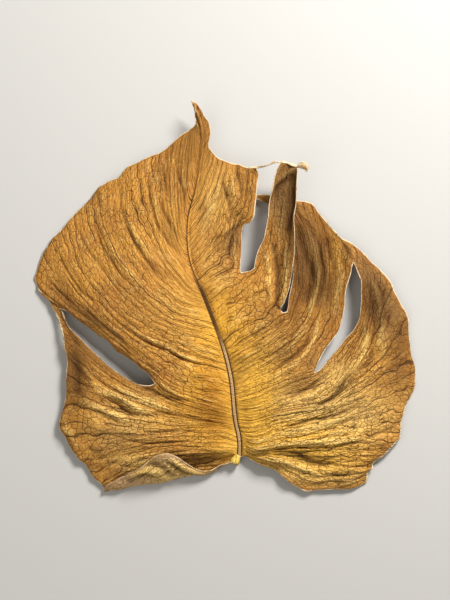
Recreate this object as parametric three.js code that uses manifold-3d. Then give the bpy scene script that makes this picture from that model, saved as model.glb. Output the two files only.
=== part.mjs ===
// A dried leaf of a Swiss cheese plant, lying as it curled when it dried.
// Blade, midrib and the stub of the leafstalk grew as one, so they are one closed body.
// Millimetres, +Z up, +Y towards the leaf's tip, +X to the right of someone looking down on it.
// The origin is under the middle of the leaf, on the surface that it lies on.
import * as THREE from "three";
import { mergeVertices } from "three/addons/utils/BufferGeometryUtils.js";
import Module from "manifold-3d";

const wasm = await Module();
wasm.setup();

// Driving sizes, in millimetres.
const SHEET = 0.55; // thickness of the dry blade
const RIB_AT_BASE = 2.2; // how far the midrib stands out under the blade
const RIB_AT_TIP = 0.4;
const RIB_HALF_WIDTH = 1.9;
const STUB_RADIUS = 2.9; // the broken leafstalk
const STUB_LENGTH = 8;
const THREAD_RADIUS = 0.6; // the strip of margin that still spans the big slit
const HOOK_RADIUS = 0.65;

// A vein runs from the midrib (0) to the margin (1). Slits open at SPLIT and, where they are closed
// again by the margin, end at RIM.
const SPLIT = 0.4;
const RIM = 0.95;
const ROOT_COLUMNS = [0.16, 0.27];
const OUTER_COLUMNS = [0.47, 0.54, 0.61, 0.68, 0.75, 0.82, 0.89];
const ROW_STEP = 0.5;
const LAST_ROW = 16;
const MARGIN_PULL_FROM = 0.3; // past this share of a vein its row bends to meet the leaf's true edge
const RIB_SHOULDER = 0.7; // the rib's depth at 0.6 of its half width, as a share of its full depth
const SHORTEST_ROOT = 6.4; // a root shorter than this squeezes the rib's columns together

// The midrib, one point for each row from base to tip.
const midribPoints = [
  [8.6, -96, 4.6], [8.7, -92.5, 4.5], [8.8, -88, 4.6], [8.1, -82, 4.8], [6.6, -75.5, 5.1],
  [5.7, -69, 5.3], [5.1, -62, 5.5], [3.7, -49, 5.8], [0, -33, 6], [-7.2, -13, 6.2],
  [-12.2, 0, 6.4], [-21.2, 22, 7.2], [-22.3, 46, 8.3], [-17.9, 63.4, 9.2], [-15.2, 80, 9.8],
  [-13.8, 98, 11.3], [-18.6, 114.6, 15],
];

// Each vein: its row on the midrib, its root up to SPLIT, its outer stretch, and past the end of a
// closed slit its rim. `margin` holds the points of the leaf's edge between this vein and the next.
const leftVeins = [
  { // free edge of the basal lobe, folded up and back over the blade
    row: -1, start: [6, -98, 5.4],
    root: [[2, -98.5, 5.6], [-5, -102.5, 5.6]],
    outer: [[-14, -103.5, 6.5], [-22, -99.5, 9.5], [-29, -94, 13.5], [-34, -92, 15], [-40, -93.5, 14.5],
      [-46, -98, 12.5], [-54, -103.5, 10], [-62, -107.5, 8], [-72, -113.5, 4.8]],
  },
  {
    row: -0.75, start: [6.8, -97.6, 4.6],
    root: [[2.2, -99, 4.6], [-5.5, -103.6, 4.4]],
    outer: [[-12, -105, 4.6], [-21, -104, 7], [-30, -102.5, 9.5], [-36, -102, 11], [-43, -102.8, 10.5],
      [-50, -106, 8.5], [-58, -110, 6.5], [-66, -113.7, 5], [-72.2, -115.8, 3.9]],
  },
  { // the fold
    row: -0.25, start: [7.6, -97, 3.8],
    root: [[2, -99.2, 3.2], [-6, -104.4, 2.9]],
    outer: [[-10, -105.3, 2.8], [-20, -107, 2.8], [-30, -109, 2.8], [-39, -110.9, 2.8], [-50, -112, 2.8],
      [-60, -114.2, 2.8], [-68, -116.2, 2.8], [-72.5, -117.2, 2.8]],
  },
  {
    row: 0,
    root: [[3, -96.3, 3], [-5, -101, 2]],
    outer: [[-10, -102.4, 1.6], [-20, -104, 1.4], [-30, -106, 1.3], [-39, -108, 1.3], [-50, -109.4, 1.3],
      [-60, -111.6, 1.3], [-68, -113.8, 1.4], [-72.9, -115, 1.6]],
  },
  {
    row: 1,
    root: [[0, -91.8, 8], [-14, -92, 9.5]],
    outer: [[-28, -92.5, 9.5], [-40, -95.5, 8.5], [-52, -99, 7], [-63, -104, 5], [-74, -112.3, 2.2]],
    margin: [[-77.2, -109.6], [-80.5, -105.4], [-83.8, -100.4]],
  },
  {
    row: 2,
    root: [[-4, -85.5, 8.5], [-18, -85.5, 10.5]],
    outer: [[-33, -86, 11.5], [-48, -87, 11], [-62, -89, 9.5], [-76, -94, 6.5], [-87.5, -97, 3.5]],
    margin: [[-90.5, -93], [-93.8, -88], [-96.3, -83], [-98.7, -79]],
  },
  {
    row: 3,
    root: [[-5, -77.5, 8.5], [-20, -78.3, 11]],
    outer: [[-36, -79, 12.5], [-52, -79.5, 12], [-68, -78, 11.5], [-84, -76.5, 9], [-99, -77, 4.5]],
    margin: [[-99.2, -75], [-98, -70.4], [-96.3, -64.2], [-95.3, -58.8], [-95.1, -53.3], [-94.9, -46.7],
      [-94.4, -40.4], [-94.8, -36.7]],
  },
  {
    row: 4,
    root: [[-8, -73.5, 8.5], [-22, -71.8, 10.5]],
    outer: [[-36, -68.5, 11.5], [-52, -63, 11.5], [-67, -57.5, 11], [-79, -50.5, 10], [-88, -42, 8.5],
      [-94.8, -34.5, 6.5]],
    margin: [[-96.2, -30.8], [-96.8, -25.8]],
  },
  {
    row: 4.4,
    root: [[-9, -70.3, 8.3], [-21, -67.6, 9.9], [-31, -64.4, 10.5]],
    outer: [[-42, -60.5, 10.8], [-54, -56, 10.6], [-68, -48.5, 10], [-78, -41, 9.2], [-87, -32.5, 7.8],
      [-93.5, -26, 6.6], [-97.4, -22.5, 5.8]],
    margin: [[-98, -20], [-99.3, -15.4], [-101, -11.2], [-103, -7.5], [-105, -3.3]],
  },
  { // lower edge of the left slit
    row: 4.75, slit: "closed",
    root: [[-10, -66.5, 8], [-26, -61.5, 9.5], [-36, -57, 9.8], [-42, -51.5, 9.8]],
    outer: [[-44.7, -52.6, 9.6], [-50, -52.3, 9.4], [-55, -50.6, 9.2], [-62, -46.5, 9], [-70, -40.5, 8.6],
      [-78, -33, 8], [-86, -25, 7.2], [-92.5, -18.8, 6.4], [-96.5, -12, 5.4], [-98.4, -7.2, 4.4]],
    rim: [[-103, -3.4, 3], [-106.5, -0.2, 2.2]],
  },
  { // its upper edge, which curls down
    row: 4.75, slit: "closed",
    root: [[-10, -66.5, 8], [-26, -61.5, 9.5], [-36, -57, 9.8], [-42, -51.5, 9.8]],
    outer: [[-45.5, -46.3, 8.5], [-50.5, -42.9, 7.5], [-56, -38, 6.8], [-60, -34.8, 6.4], [-64, -32.3, 6.1],
      [-68, -28, 5.9], [-74, -24, 5.6], [-80.5, -19.2, 5.4], [-86, -14, 5.1], [-92, -9.8, 4.8],
      [-98.4, -7.2, 4.4]],
    rim: [[-103, -3.4, 3], [-106.5, -0.2, 2.2]],
    margin: [[-109.2, 2.7], [-112.2, 4.2], [-113, 6.3], [-114.8, 10.4], [-114.2, 12.5], [-113, 15.8]],
  },
  {
    row: 5.75,
    root: [[-10, -58, 8.5], [-24, -53.5, 10.5], [-36, -47.5, 11.5]],
    outer: [[-52, -36, 11], [-62, -27, 10.5], [-72, -19, 10.5], [-83, -10, 9.5], [-93, -1, 7.5],
      [-101, 7, 5], [-107, 15, 3], [-111.5, 20.5, 1.4]],
    margin: [[-109.2, 25.8], [-107.2, 29.2], [-105, 33], [-103.4, 35.4], [-100, 38.3]],
  },
  {
    row: 7.25,
    root: [[-10, -41.3, 8.5], [-21, -38.8, 10.5], [-33, -34, 11.5]],
    outer: [[-45, -28.8, 12.5], [-56, -22, 12.5], [-66, -14, 12.5], [-76, -4, 12], [-84, 6, 11],
      [-91, 17, 9], [-95.5, 28, 6.5], [-98.8, 39.5, 3.6]],
    margin: [[-97.2, 41.3], [-93, 46.3], [-89.7, 50.2], [-85, 54.6], [-83, 57]],
  },
  {
    row: 8.5,
    root: [[-15, -19, 9.5], [-27, -15.5, 12], [-38, -10, 13.5]],
    outer: [[-48, -3, 14.5], [-57, 6, 14.5], [-65, 16, 13.5], [-72, 29, 11.5], [-77, 39, 8.5],
      [-80, 50, 5], [-81.5, 59, 1.8]],
    margin: [[-80, 60.8], [-77.2, 64.2], [-74.7, 66.3], [-71.3, 68.2], [-68, 69.8]],
  },
  {
    row: 9.5,
    root: [[-19, -4, 9.5], [-28, 0, 12], [-38, 9, 13.5]],
    outer: [[-44, 15, 14], [-49, 22, 14], [-54, 30, 13.5], [-58, 37, 13], [-63, 46, 11.5],
      [-63.5, 55, 10], [-63.5, 62, 8.5], [-64, 70.8, 6.5]],
    margin: [[-62.6, 72.5], [-60.5, 75.4], [-58.8, 77.3], [-54.7, 79.3], [-49.7, 81.7]],
  },
  {
    row: 10.25,
    root: [[-21, 10, 9], [-26, 17.5, 10.5], [-31, 24, 11.5]],
    outer: [[-34.7, 29, 12], [-40, 42.5, 12], [-43, 52, 12], [-45.5, 65, 11], [-46.5, 75, 9.5],
      [-46.5, 83.3, 7.5]],
    margin: [[-44.7, 84.2], [-40, 85.7], [-37.6, 87.1], [-34.7, 89.2]],
  },
  {
    row: 11,
    root: [[-24.5, 24, 8.5], [-28, 30, 9.5], [-30, 36, 9.5]],
    outer: [[-32, 44, 9.5], [-33.5, 52, 9.5], [-34.3, 60, 9.5], [-34.8, 68, 9.3], [-34.6, 76, 9],
      [-34, 83, 8.5], [-32.5, 91, 8]],
    margin: [[-31.3, 92.1], [-28.8, 94.6], [-24.7, 97.5]],
  },
  {
    row: 11.75,
    root: [[-24.5, 44, 9], [-25.5, 50, 9.5], [-25.8, 56, 9.5]],
    outer: [[-25.8, 64, 9.5], [-25.3, 72, 9.7], [-24.6, 80, 9.8], [-23.8, 87, 10], [-23, 93, 10.3],
      [-21.8, 99.2, 10.5]],
    margin: [[-20.5, 100.2], [-18.8, 101.2]],
  },
  {
    row: 14,
    root: [[-16.2, 84.5, 10], [-17.3, 89.5, 10.4]],
    outer: [[-17.8, 94.5, 10.8], [-17.9, 98.7, 11.2], [-17.6, 102.5, 11.7]],
    margin: [[-17.4, 104.2], [-17.5, 105.8]],
  },
  {
    row: 15,
    root: [[-15, 99.9, 11.4], [-16.1, 101.9, 11.7]],
    outer: [[-16.7, 103.8, 12], [-17.2, 105.6, 12.4], [-17.8, 107.5, 12.8]],
  },
  {
    row: 15.5,
    root: [[-16.6, 108.2, 13.1], [-17.3, 109.6, 13.4]],
    outer: [[-17.9, 110.7, 13.6], [-18.5, 111.8, 13.8]],
    margin: [[-18.8, 112.5]],
  },
  {
    row: 16,
    root: [[-19.3, 115.4, 15]],
    outer: [[-20.1, 116.5, 15]],
  },
];

const rightVeins = [
  {
    row: 0,
    root: [[12, -95.3, 5], [16, -97.5, 5.5], [22, -100.3, 6]],
    outer: [[30, -104.2, 6], [36, -108.9, 5.5], [42.5, -113.7, 4], [49, -116.4, 3], [57, -115.6, 3],
      [66, -115.4, 3], [75, -114.8, 2.4], [84.3, -112, 1.6]],
    margin: [[85.2, -110.8], [85.7, -107.5], [86.3, -105]],
  },
  {
    row: 1,
    root: [[16, -94.5, 6.5], [24, -94.7, 8.5], [32, -96.5, 9]],
    outer: [[42, -100, 7.5], [52, -103, 7], [62, -104.5, 7.5], [72, -105.5, 8], [80, -105.5, 6],
      [87.3, -103.6, 3.4]],
    margin: [[88.9, -102.1], [88.6, -100.8], [90.4, -98.3], [93.3, -96.3], [95.8, -94.2], [99.2, -90.8]],
  },
  {
    row: 2,
    root: [[18, -91.5, 8], [30, -90.5, 10.5], [42, -89.5, 11.5]],
    outer: [[55, -88.3, 11.5], [68, -86.8, 12], [80, -85.5, 11], [92, -86.5, 7.5], [102.6, -87.4, 3.4]],
    margin: [[104.8, -84.6], [105, -80.8], [105.4, -76.7], [105.8, -73.3], [106.7, -69.2], [107.9, -65.4],
      [110, -62.1], [112.1, -58.8], [113.5, -55.4]],
  },
  {
    row: 3,
    root: [[18, -83, 9], [30, -78.5, 11], [42, -76, 12]],
    outer: [[56, -73, 12], [70, -68.5, 12], [82, -63.5, 11], [93, -58.5, 8.5], [103, -54.5, 5],
      [114, -52, 1.4]],
    margin: [[114.6, -45], [114, -40.8], [112.5, -37.5], [111.6, -34.2]],
  },
  {
    row: 4,
    root: [[17, -75.5, 9], [29, -72, 11.5], [42, -69, 12.5]],
    outer: [[55, -66, 12.5], [66, -61, 12.5], [76, -55, 12], [86, -48, 11], [95, -41, 9], [103, -34.5, 6],
      [111, -29, 2.4]],
    margin: [[110.4, -23.5], [110.2, -18.1], [109.8, -14.2], [108.5, -10], [105.4, -4.6], [103.1, 0]],
  },
  {
    row: 5,
    root: [[17, -70, 9], [29, -66.5, 11], [42, -64, 12]],
    outer: [[56, -61.5, 12], [66, -55.5, 12], [73, -47, 12], [79, -38, 12], [85, -28, 11], [90, -17, 10],
      [95, -6, 8], [98.5, 1, 6], [101.2, 4.2, 5]],
    margin: [[99.2, 8.5], [96.9, 11.5], [94.2, 15], [90, 18.8], [85.8, 22.7], [82.3, 26.2], [79.2, 29.2],
      [74.6, 32.3]],
  },
  { // right edge of the right slit
    row: 6, slit: "closed",
    root: [[15, -60, 9], [27, -55.5, 11], [40, -50, 12], [53.1, -44.8, 12]],
    outer: [[56.9, -42.6, 12], [60, -38.8, 12], [63.8, -34.2, 12.2], [68.5, -28.8, 12.4],
      [71.5, -24.5, 12.6], [75.4, -20.4, 12.8], [77.9, -16.3, 13], [79.7, -12.2, 13.2], [80.6, -5.8, 13.4],
      [80.9, 0.4, 13.4], [80.6, 6.5, 13], [79.5, 12, 12], [78, 16.7, 10.6], [76.3, 20.3, 9]],
    rim: [[74.2, 27, 7.4], [71.8, 31.7, 6.4], [69.7, 35, 5.6]],
  },
  { // its left edge
    row: 6, slit: "closed",
    root: [[15, -60, 9], [27, -55.5, 11], [40, -50, 12], [53.1, -44.8, 12]],
    outer: [[54.6, -40.4, 11.6], [57, -35.6, 11], [59.8, -30.6, 10.4], [63.2, -26.4, 9.8],
      [66.3, -22.6, 9.4], [68.2, -19.4, 9], [69.2, -15.5, 8.8], [70.5, -10, 8.5], [71.4, -4, 8.3],
      [71.5, 0.5, 8.2], [72.3, 5, 8.2], [73.8, 10.3, 8.4], [75, 14.2, 8.6], [75.5, 17.3, 8.8],
      [76.3, 20.3, 9]],
    rim: [[74.2, 27, 7.4], [71.8, 31.7, 6.4], [69.7, 35, 5.6]],
    margin: [[66.9, 37.3], [65, 40], [62.3, 42.7], [60.4, 45.8], [57.3, 49.2], [55.4, 51.9]],
  },
  {
    row: 7,
    root: [[14, -42, 9], [26, -35, 11], [37, -28, 12]],
    outer: [[46, -21.5, 12], [52, -13, 11.5], [55, -4, 10.5], [57, 6, 9], [58, 17, 7.5], [57.5, 28, 6],
      [56.5, 39, 4], [54.5, 50, 2.4], [53.2, 54.9, 1.6]],
    margin: [[51.9, 55.8], [49.2, 56.9], [46.2, 57.5], [42, 57.8], [34, 60], [27, 61.3], [18, 61.5]],
  },
  { // right edge of the narrow slit, whose far end passes under the finger
    row: 8, slit: "open",
    root: [[9, -27, 9], [20, -20.5, 11], [29, -13.5, 12], [34.3, -9.2, 12]],
    outer: [[36.6, -8.6, 11.8], [37.3, -5.5, 11.6], [38, 0, 11], [39.3, 5.5, 10.2], [40.3, 11, 9.4],
      [40.6, 16, 8.6], [40.3, 22, 7.6], [39.5, 32, 6.2], [37, 42, 5.2], [32.5, 50, 4.6],
      [26.4, 55.4, 4.4], [22.9, 57, 4.4], [18.6, 58.7, 4.4], [12, 60.5, 4.4]],
  },
  { // right edge of the finger
    row: 8, slit: "open",
    root: [[9, -27, 9], [20, -20.5, 11], [29, -13.5, 12], [34.3, -9.2, 12]],
    outer: [[33, -7.5, 12.2], [33.6, -5.2, 12.4], [35.4, -3.4, 12.6], [36.6, 0.6, 13], [37.9, 4.3, 13.4],
      [38.9, 9.7, 14], [39.7, 14.3, 14.5], [40.2, 19, 15], [40.9, 23, 15.4], [41.2, 27.3, 15.8],
      [40.9, 31.5, 16.2], [40.6, 40, 17], [40.8, 49.5, 18], [41.5, 56, 18.8], [42.2, 64, 19.8],
      [42.9, 70, 20.4], [43.2, 75.5, 20.8]],
    margin: [[42.2, 77.6]],
  },
  { // the finger's hollow middle
    row: 9,
    root: [[1, -4.5, 9], [11, 2, 11], [19, 8, 12]],
    outer: [[25, 16, 11.5], [28.5, 25, 11.8], [31, 35, 12.6], [32.8, 45, 13.6], [33.8, 55, 14.8],
      [34.8, 65, 16.2], [36.5, 73, 18], [38, 78.6, 19.8]],
    margin: [[36.4, 79.1]],
  },
  { // left edge of the finger
    row: 10, slit: "open",
    root: [[-5, 6.5, 9], [3, 10.5, 10.5], [9.7, 14.6, 11]],
    outer: [[13, 15.2, 11.4], [16.8, 16.5, 12], [17.6, 20, 12.6], [18, 22.5, 13], [19.3, 27, 13.8],
      [21.4, 31.5, 14.6], [23.3, 37, 15.6], [24.6, 43.5, 16.8], [25.6, 50, 18], [26.3, 55.5, 19],
      [27.1, 59, 19.6], [27.6, 63, 20.4], [28.6, 68.5, 21.2], [30, 73, 21.8], [31.4, 76, 22.2],
      [33, 79.5, 22.2]],
  },
  { // left edge of the big slit, torn into a notch half way up
    row: 10, slit: "open",
    root: [[-5, 6.5, 9], [3, 10.5, 10.5], [9.7, 14.6, 11]],
    outer: [[9.2, 17.5, 10.6], [9.5, 22, 9.8], [10, 28, 9], [9.9, 34.3, 8.6], [10.2, 39.5, 8.8],
      [10.8, 42, 9.4], [12.9, 43.4, 10.6], [15, 43.9, 11.6], [16.4, 45.7, 12.2], [17.5, 48, 12.6],
      [17.9, 53, 13], [18.4, 57, 13.2], [18.8, 62, 13.2], [19.4, 68.5, 12.8], [19.9, 73, 12.4],
      [19.1, 75.8, 12], [18.6, 77.8, 11.6]],
    margin: [[13.6, 77.1], [10.7, 77.9], [9.3, 78.8]],
  },
  {
    row: 11,
    root: [[-15, 29, 8.5], [-9.5, 36, 9], [-5, 43, 9.5]],
    outer: [[-2, 50, 10.5], [0.5, 57, 11], [2.5, 64, 11.5], [4, 70, 11.2], [5.2, 75, 10.6],
      [5.9, 79.2, 10]],
    margin: [[2.9, 79.9], [-0.7, 81.3], [-3.6, 82.5]],
  },
  {
    row: 12,
    root: [[-17, 53, 9], [-13.5, 60, 9.5], [-11, 67, 9.7]],
    outer: [[-9.5, 72, 9.7], [-8.2, 75.5, 9.7], [-7, 78.5, 9.7], [-6.2, 81.5, 9.6], [-5.7, 84.3, 9.5]],
    margin: [[-7.7, 86.5], [-9.5, 89.3], [-9.5, 91.4]],
  },
  {
    row: 14,
    root: [[-14.2, 84, 9.9], [-13.4, 87, 10]],
    outer: [[-12, 89.8, 10], [-10.4, 92.2, 10.1], [-8.9, 94.3, 10.3]],
    margin: [[-8.4, 97.9], [-8.9, 101.4], [-10, 104.6]],
  },
  {
    row: 15,
    root: [[-13, 100.8, 11.3], [-12.3, 103, 11.4]],
    outer: [[-11.8, 104.3, 11.6], [-11.4, 105.2, 11.8], [-11, 105.9, 12]],
    margin: [[-12.1, 107.1], [-13.6, 110], [-15.4, 112.9], [-17.5, 115.2]],
  },
  {
    row: 16,
    root: [[-18.8, 115.4, 15]],
    outer: [[-19.1, 116.2, 15]],
  },
];

// The thread of margin across the mouth of the big slit, and the torn end that curls up past it.
const threadPoints = [
  [17.6, 76.4, 12.3], [21, 76.9, 15], [25, 77.6, 18.6], [29.3, 79.2, 21.4], [33, 79.2, 22],
  [36.4, 78.9, 20.6], [39.3, 77.7, 20.4], [42.2, 76.6, 20.8],
];
const hookPoints = [
  [42.2, 76.4, 20.8], [44.3, 78.6, 22.4], [46.4, 78.9, 23.4], [48.2, 77.1, 23.8], [48.6, 75.4, 23.6],
  [47.9, 73.9, 23], [46.8, 74.4, 22.6],
];

const toVector = ([x, y, z]) => new THREE.Vector3(x, y, z);
const midrib = new THREE.CatmullRomCurve3(midribPoints.map(toVector), false, "centripetal");

function midribAt(row) {
  return midrib.getPoint(THREE.MathUtils.clamp(row / LAST_ROW, 0, 1));
}

// A stretch of a smooth line, from its point number `first` to `last`, read by share of its length.
function stretch(points, first, last) {
  const curve = new THREE.CatmullRomCurve3(points, false, "centripetal");
  const steps = 12 * (last - first);
  const samples = [];
  const lengths = [0];
  for (let k = 0; k <= steps; k += 1) {
    const at = first + ((last - first) * k) / steps;
    samples.push(curve.getPoint(at / (points.length - 1)));
    if (k > 0) lengths.push(lengths[k - 1] + samples[k].distanceTo(samples[k - 1]));
  }
  return (share) => {
    const wanted = share * lengths[steps];
    let k = 1;
    while (k < steps && lengths[k] < wanted) k += 1;
    const part = (wanted - lengths[k - 1]) / (lengths[k] - lengths[k - 1]);
    return samples[k - 1].clone().lerp(samples[k], part);
  };
}

// A vein as a function from 0 at the midrib to 1 at the margin. The two edges of a slit have their
// root in common, so their stretches are drawn apart from each other.
function veinPath(vein) {
  const root = [vein.start ? toVector(vein.start) : midribAt(vein.row), ...vein.root.map(toVector)];
  const outer = vein.outer.map(toVector);
  const rim = (vein.rim ?? []).map(toVector);
  const split = root.length - 1;
  const outerEnd = split + outer.length;
  const whole = [...root, ...outer, ...rim];
  const end = rim.length > 0 ? RIM : 1;
  const rootPart = vein.slit ? stretch(root, 0, split) : stretch(whole, 0, split);
  const outerPart = vein.slit
    ? stretch(whole.slice(split, outerEnd + 1), 0, outer.length)
    : stretch(whole, split, outerEnd);
  const rimPart = rim.length > 0 ? stretch(whole.slice(outerEnd), 0, rim.length) : null;
  return (u) => {
    if (u <= SPLIT) return rootPart(u / SPLIT);
    if (u <= end) return outerPart((u - SPLIT) / (end - SPLIT));
    return rimPart((u - end) / (1 - end));
  };
}

// The leaf's edge between two neighbouring veins, by share of its length.
function marginPath(vein, from, to) {
  const points = [from, ...(vein.margin ?? []).map(([x, y]) => new THREE.Vector3(x, y, 0)), to];
  const last = points.length - 1;
  points.forEach((point, k) => {
    point.z = THREE.MathUtils.lerp(from.z, to.z, k / last);
  });
  return stretch(points, 0, last);
}

// Between 0 where a slit is closed at this share of the vein and 1 where it is open.
function openness(slit, u) {
  const opened = THREE.MathUtils.smoothstep(u, SPLIT, SPLIT + 0.1);
  return slit === "closed" ? opened * (1 - THREE.MathUtils.smoothstep(u, RIM - 0.07, RIM)) : opened;
}

// A point of the smooth curve through four others, at `share` of the way from the second to the third.
function between(p0, p1, p2, p3, share) {
  return new THREE.CatmullRomCurve3([p0, p1, p2, p3], false, "centripetal").getPoint((1 + share) / 3);
}

// One half of the blade, as a function of the row and the share of the way out to the margin.
function makeSide(veins) {
  const paths = veins.map(veinPath);
  const margins = veins.slice(0, -1).map((vein, i) => marginPath(vein, paths[i](1), paths[i + 1](1)));

  function neighbour(i, step, u) {
    const here = paths[i](u);
    const past = here.clone().multiplyScalar(2).sub(paths[i - step](u));
    const next = veins[i + step];
    if (!next) return past;
    if (next.row !== veins[i].row) return paths[i + step](u);
    return paths[i + 2 * step](u).lerp(past, openness(next.slit, u));
  }

  function point(i, row, u) {
    const [low, high] = [veins[i].row, veins[i + 1].row];
    const share = (row - low) / (high - low);
    const at = (v) => between(neighbour(i, -1, v), paths[i](v), paths[i + 1](v), neighbour(i + 1, 1, v), share);
    const found = at(u);
    if (row >= 0 && u < SPLIT) {
      found.add(midribAt(row).sub(at(0)).multiplyScalar((1 - u / SPLIT) ** 2));
    }
    const pull = Math.max(0, (u - MARGIN_PULL_FROM) / (1 - MARGIN_PULL_FROM)) ** 2;
    return found.add(margins[i](share).sub(at(1)).multiplyScalar(pull));
  }

  // Every row of the half, with the vein gap that it lies in. A slit's row comes twice.
  function rows(grid) {
    const list = [];
    for (let i = 0; i < veins.length - 1; i += 1) {
      const [low, high] = [veins[i].row, veins[i + 1].row];
      if (low === high) continue;
      list.push(grid.filter((row) => row >= low && row <= high).map((row) => ({ gap: i, row })));
    }
    return list;
  }

  return { point, rows };
}

// The rows of the net: even steps, and every vein's own row.
function rowGrid() {
  const rows = new Set([...leftVeins, ...rightVeins].map((vein) => vein.row));
  for (let row = 0; row <= LAST_ROW; row += ROW_STEP) rows.add(row);
  return [...rows].sort((a, b) => a - b);
}

// The middle surface of the blade: points, triangles and how far the rib stands out under each point.
function middleSurface() {
  const points = [];
  const ribs = [];
  const triangles = [];
  const seen = new Map();
  const ribColumns = [0, 0.6 * RIB_HALF_WIDTH, RIB_HALF_WIDTH];

  function vertex(point, rib) {
    const key = [point.x, point.y, point.z].map((value) => value.toFixed(3)).join();
    if (!seen.has(key)) {
      seen.set(key, points.length);
      points.push(point);
      ribs.push(rib);
    }
    return seen.get(key);
  }

  function netRow(side, { gap, row }) {
    const rootLength = side.point(gap, row, 0).distanceTo(side.point(gap, row, SPLIT));
    const near = ribColumns.map((distance) => (SPLIT * distance) / Math.max(rootLength, SHORTEST_ROOT));
    const along = Math.max(0, row) / LAST_ROW;
    const depth = THREE.MathUtils.lerp(RIB_AT_BASE, RIB_AT_TIP, along);
    const ribDepths = [depth, RIB_SHOULDER * depth, 0];
    return [...near, ...ROOT_COLUMNS, SPLIT, ...OUTER_COLUMNS, RIM, 1].map((u, column) =>
      vertex(side.point(gap, row, u), row >= 0 ? ribDepths[column] ?? 0 : 0));
  }

  function addTriangle(a, b, c) {
    if (a !== b && b !== c && c !== a) triangles.push([a, b, c]);
  }

  function addSide(veins, leftHanded) {
    const side = makeSide(veins);
    side.rows(rowGrid()).forEach((gapRows) => {
      const nets = gapRows.map((entry) => netRow(side, entry));
      for (let r = 0; r < nets.length - 1; r += 1) {
        for (let c = 0; c < nets[r].length - 1; c += 1) {
          const corners = [nets[r][c], nets[r][c + 1], nets[r + 1][c + 1], nets[r + 1][c]];
          if (leftHanded) corners.reverse();
          addTriangle(corners[0], corners[1], corners[2]);
          addTriangle(corners[0], corners[2], corners[3]);
        }
      }
    });
  }

  addSide(leftVeins, true);
  addSide(rightVeins, false);
  return { points, ribs, triangles };
}

// The sheet: the middle surface moved up and down by half its thickness, and closed along its edges.
function bladeGeometry() {
  const { points, ribs, triangles } = middleSurface();
  const normals = points.map(() => new THREE.Vector3());
  const edges = new Map();
  triangles.forEach(([a, b, c]) => {
    const ab = points[b].clone().sub(points[a]);
    const ac = points[c].clone().sub(points[a]);
    const normal = ab.cross(ac);
    [a, b, c].forEach((corner) => normals[corner].add(normal));
    [[a, b], [b, c], [c, a]].forEach(([from, to]) => {
      if (!edges.delete(`${to},${from}`)) edges.set(`${from},${to}`, [from, to]);
    });
  });
  const count = points.length;
  const position = new Float32Array(6 * count);
  points.forEach((point, k) => {
    const normal = normals[k].normalize();
    point.clone().addScaledVector(normal, SHEET / 2).toArray(position, 3 * k);
    point.clone().addScaledVector(normal, -SHEET / 2 - ribs[k]).toArray(position, 3 * (k + count));
  });
  const index = triangles.flatMap(([a, b, c]) => [a, b, c, a + count, c + count, b + count]);
  edges.forEach(([from, to]) => {
    index.push(from, from + count, to + count, from, to + count, to);
  });
  const geometry = new THREE.BufferGeometry();
  geometry.setAttribute("position", new THREE.BufferAttribute(position, 3));
  geometry.setIndex(index);
  return geometry;
}

// A round strand along a line.
function strandGeometry(points, radius) {
  const sides = 6;
  const ring = [...Array(sides).keys()].map((k) => {
    const angle = (2 * Math.PI * k) / sides;
    return new THREE.Vector2(radius * Math.cos(angle), radius * Math.sin(angle));
  });
  const path = new THREE.CatmullRomCurve3(points.map(toVector), false, "centripetal");
  return new THREE.ExtrudeGeometry(new THREE.Shape(ring), { steps: 2 * points.length, extrudePath: path });
}

// The stub of the leafstalk: it thickens past the blade's base and ends in a broken face.
function stubGeometry() {
  const profile = [
    [0, 0], [0.62, 0], [0.8, 0.3], [1, 0.62], [0.94, 0.86], [0.55, 1], [0.3, 0.9], [0, 0.92],
  ].map(([radius, along]) => new THREE.Vector2(radius * STUB_RADIUS, along * STUB_LENGTH));
  const geometry = new THREE.LatheGeometry(profile, 10);
  const [top, base] = [new THREE.Vector3(8.8, -91.4, 4.1), new THREE.Vector3(6.6, -99, 3.5)];
  const turn = new THREE.Quaternion().setFromUnitVectors(
    new THREE.Vector3(0, 1, 0), base.clone().sub(top).normalize());
  return geometry.applyQuaternion(turn).translate(top.x, top.y, top.z);
}

function toSolid(geometry) {
  geometry.deleteAttribute("normal");
  geometry.deleteAttribute("uv");
  const merged = mergeVertices(geometry, 1e-4);
  return new wasm.Manifold(new wasm.Mesh({
    numProp: 3,
    vertProperties: new Float32Array(merged.attributes.position.array),
    triVerts: new Uint32Array(merged.index.array),
  }));
}

function toGeometry(solid) {
  const mesh = solid.getMesh();
  const geometry = new THREE.BufferGeometry();
  geometry.setAttribute("position", new THREE.BufferAttribute(mesh.vertProperties, 3));
  geometry.setIndex(new THREE.BufferAttribute(mesh.triVerts, 1));
  geometry.computeBoundingBox();
  geometry.translate(0, 0, -geometry.boundingBox.min.z);
  geometry.computeVertexNormals();
  return geometry;
}

const solid = toSolid(bladeGeometry())
  .add(toSolid(stubGeometry()))
  .add(toSolid(strandGeometry(threadPoints, THREAD_RADIUS)))
  .add(toSolid(strandGeometry(hookPoints, HOOK_RADIUS)));

// Dry, golden brown leaf skin with a dull sheen.
const dryLeaf = new THREE.MeshStandardMaterial({
  name: "leaf", color: "#c88c42", roughness: 0.62, metalness: 0, flatShading: true,
});

const leaf = new THREE.Mesh(toGeometry(solid), dryLeaf);
leaf.name = "leaf";

const group = new THREE.Group();
group.name = "monstera_leaf";
group.add(leaf);

export default group;
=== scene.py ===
"""A dried leaf of a Swiss cheese plant, lying on a pale floor and seen from straight above.

The blade is a net of rows, each following the leaf's veins from the midrib out to the margin.
Distances are in millimetres while the blade is shaped, and become metres when its mesh is made.
"""
import math
from collections import namedtuple
from functools import partial

import bpy
import numpy as np
from bpy.props import FloatProperty, FloatVectorProperty, PointerProperty
from mathutils import Matrix, Vector, kdtree, noise


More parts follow.
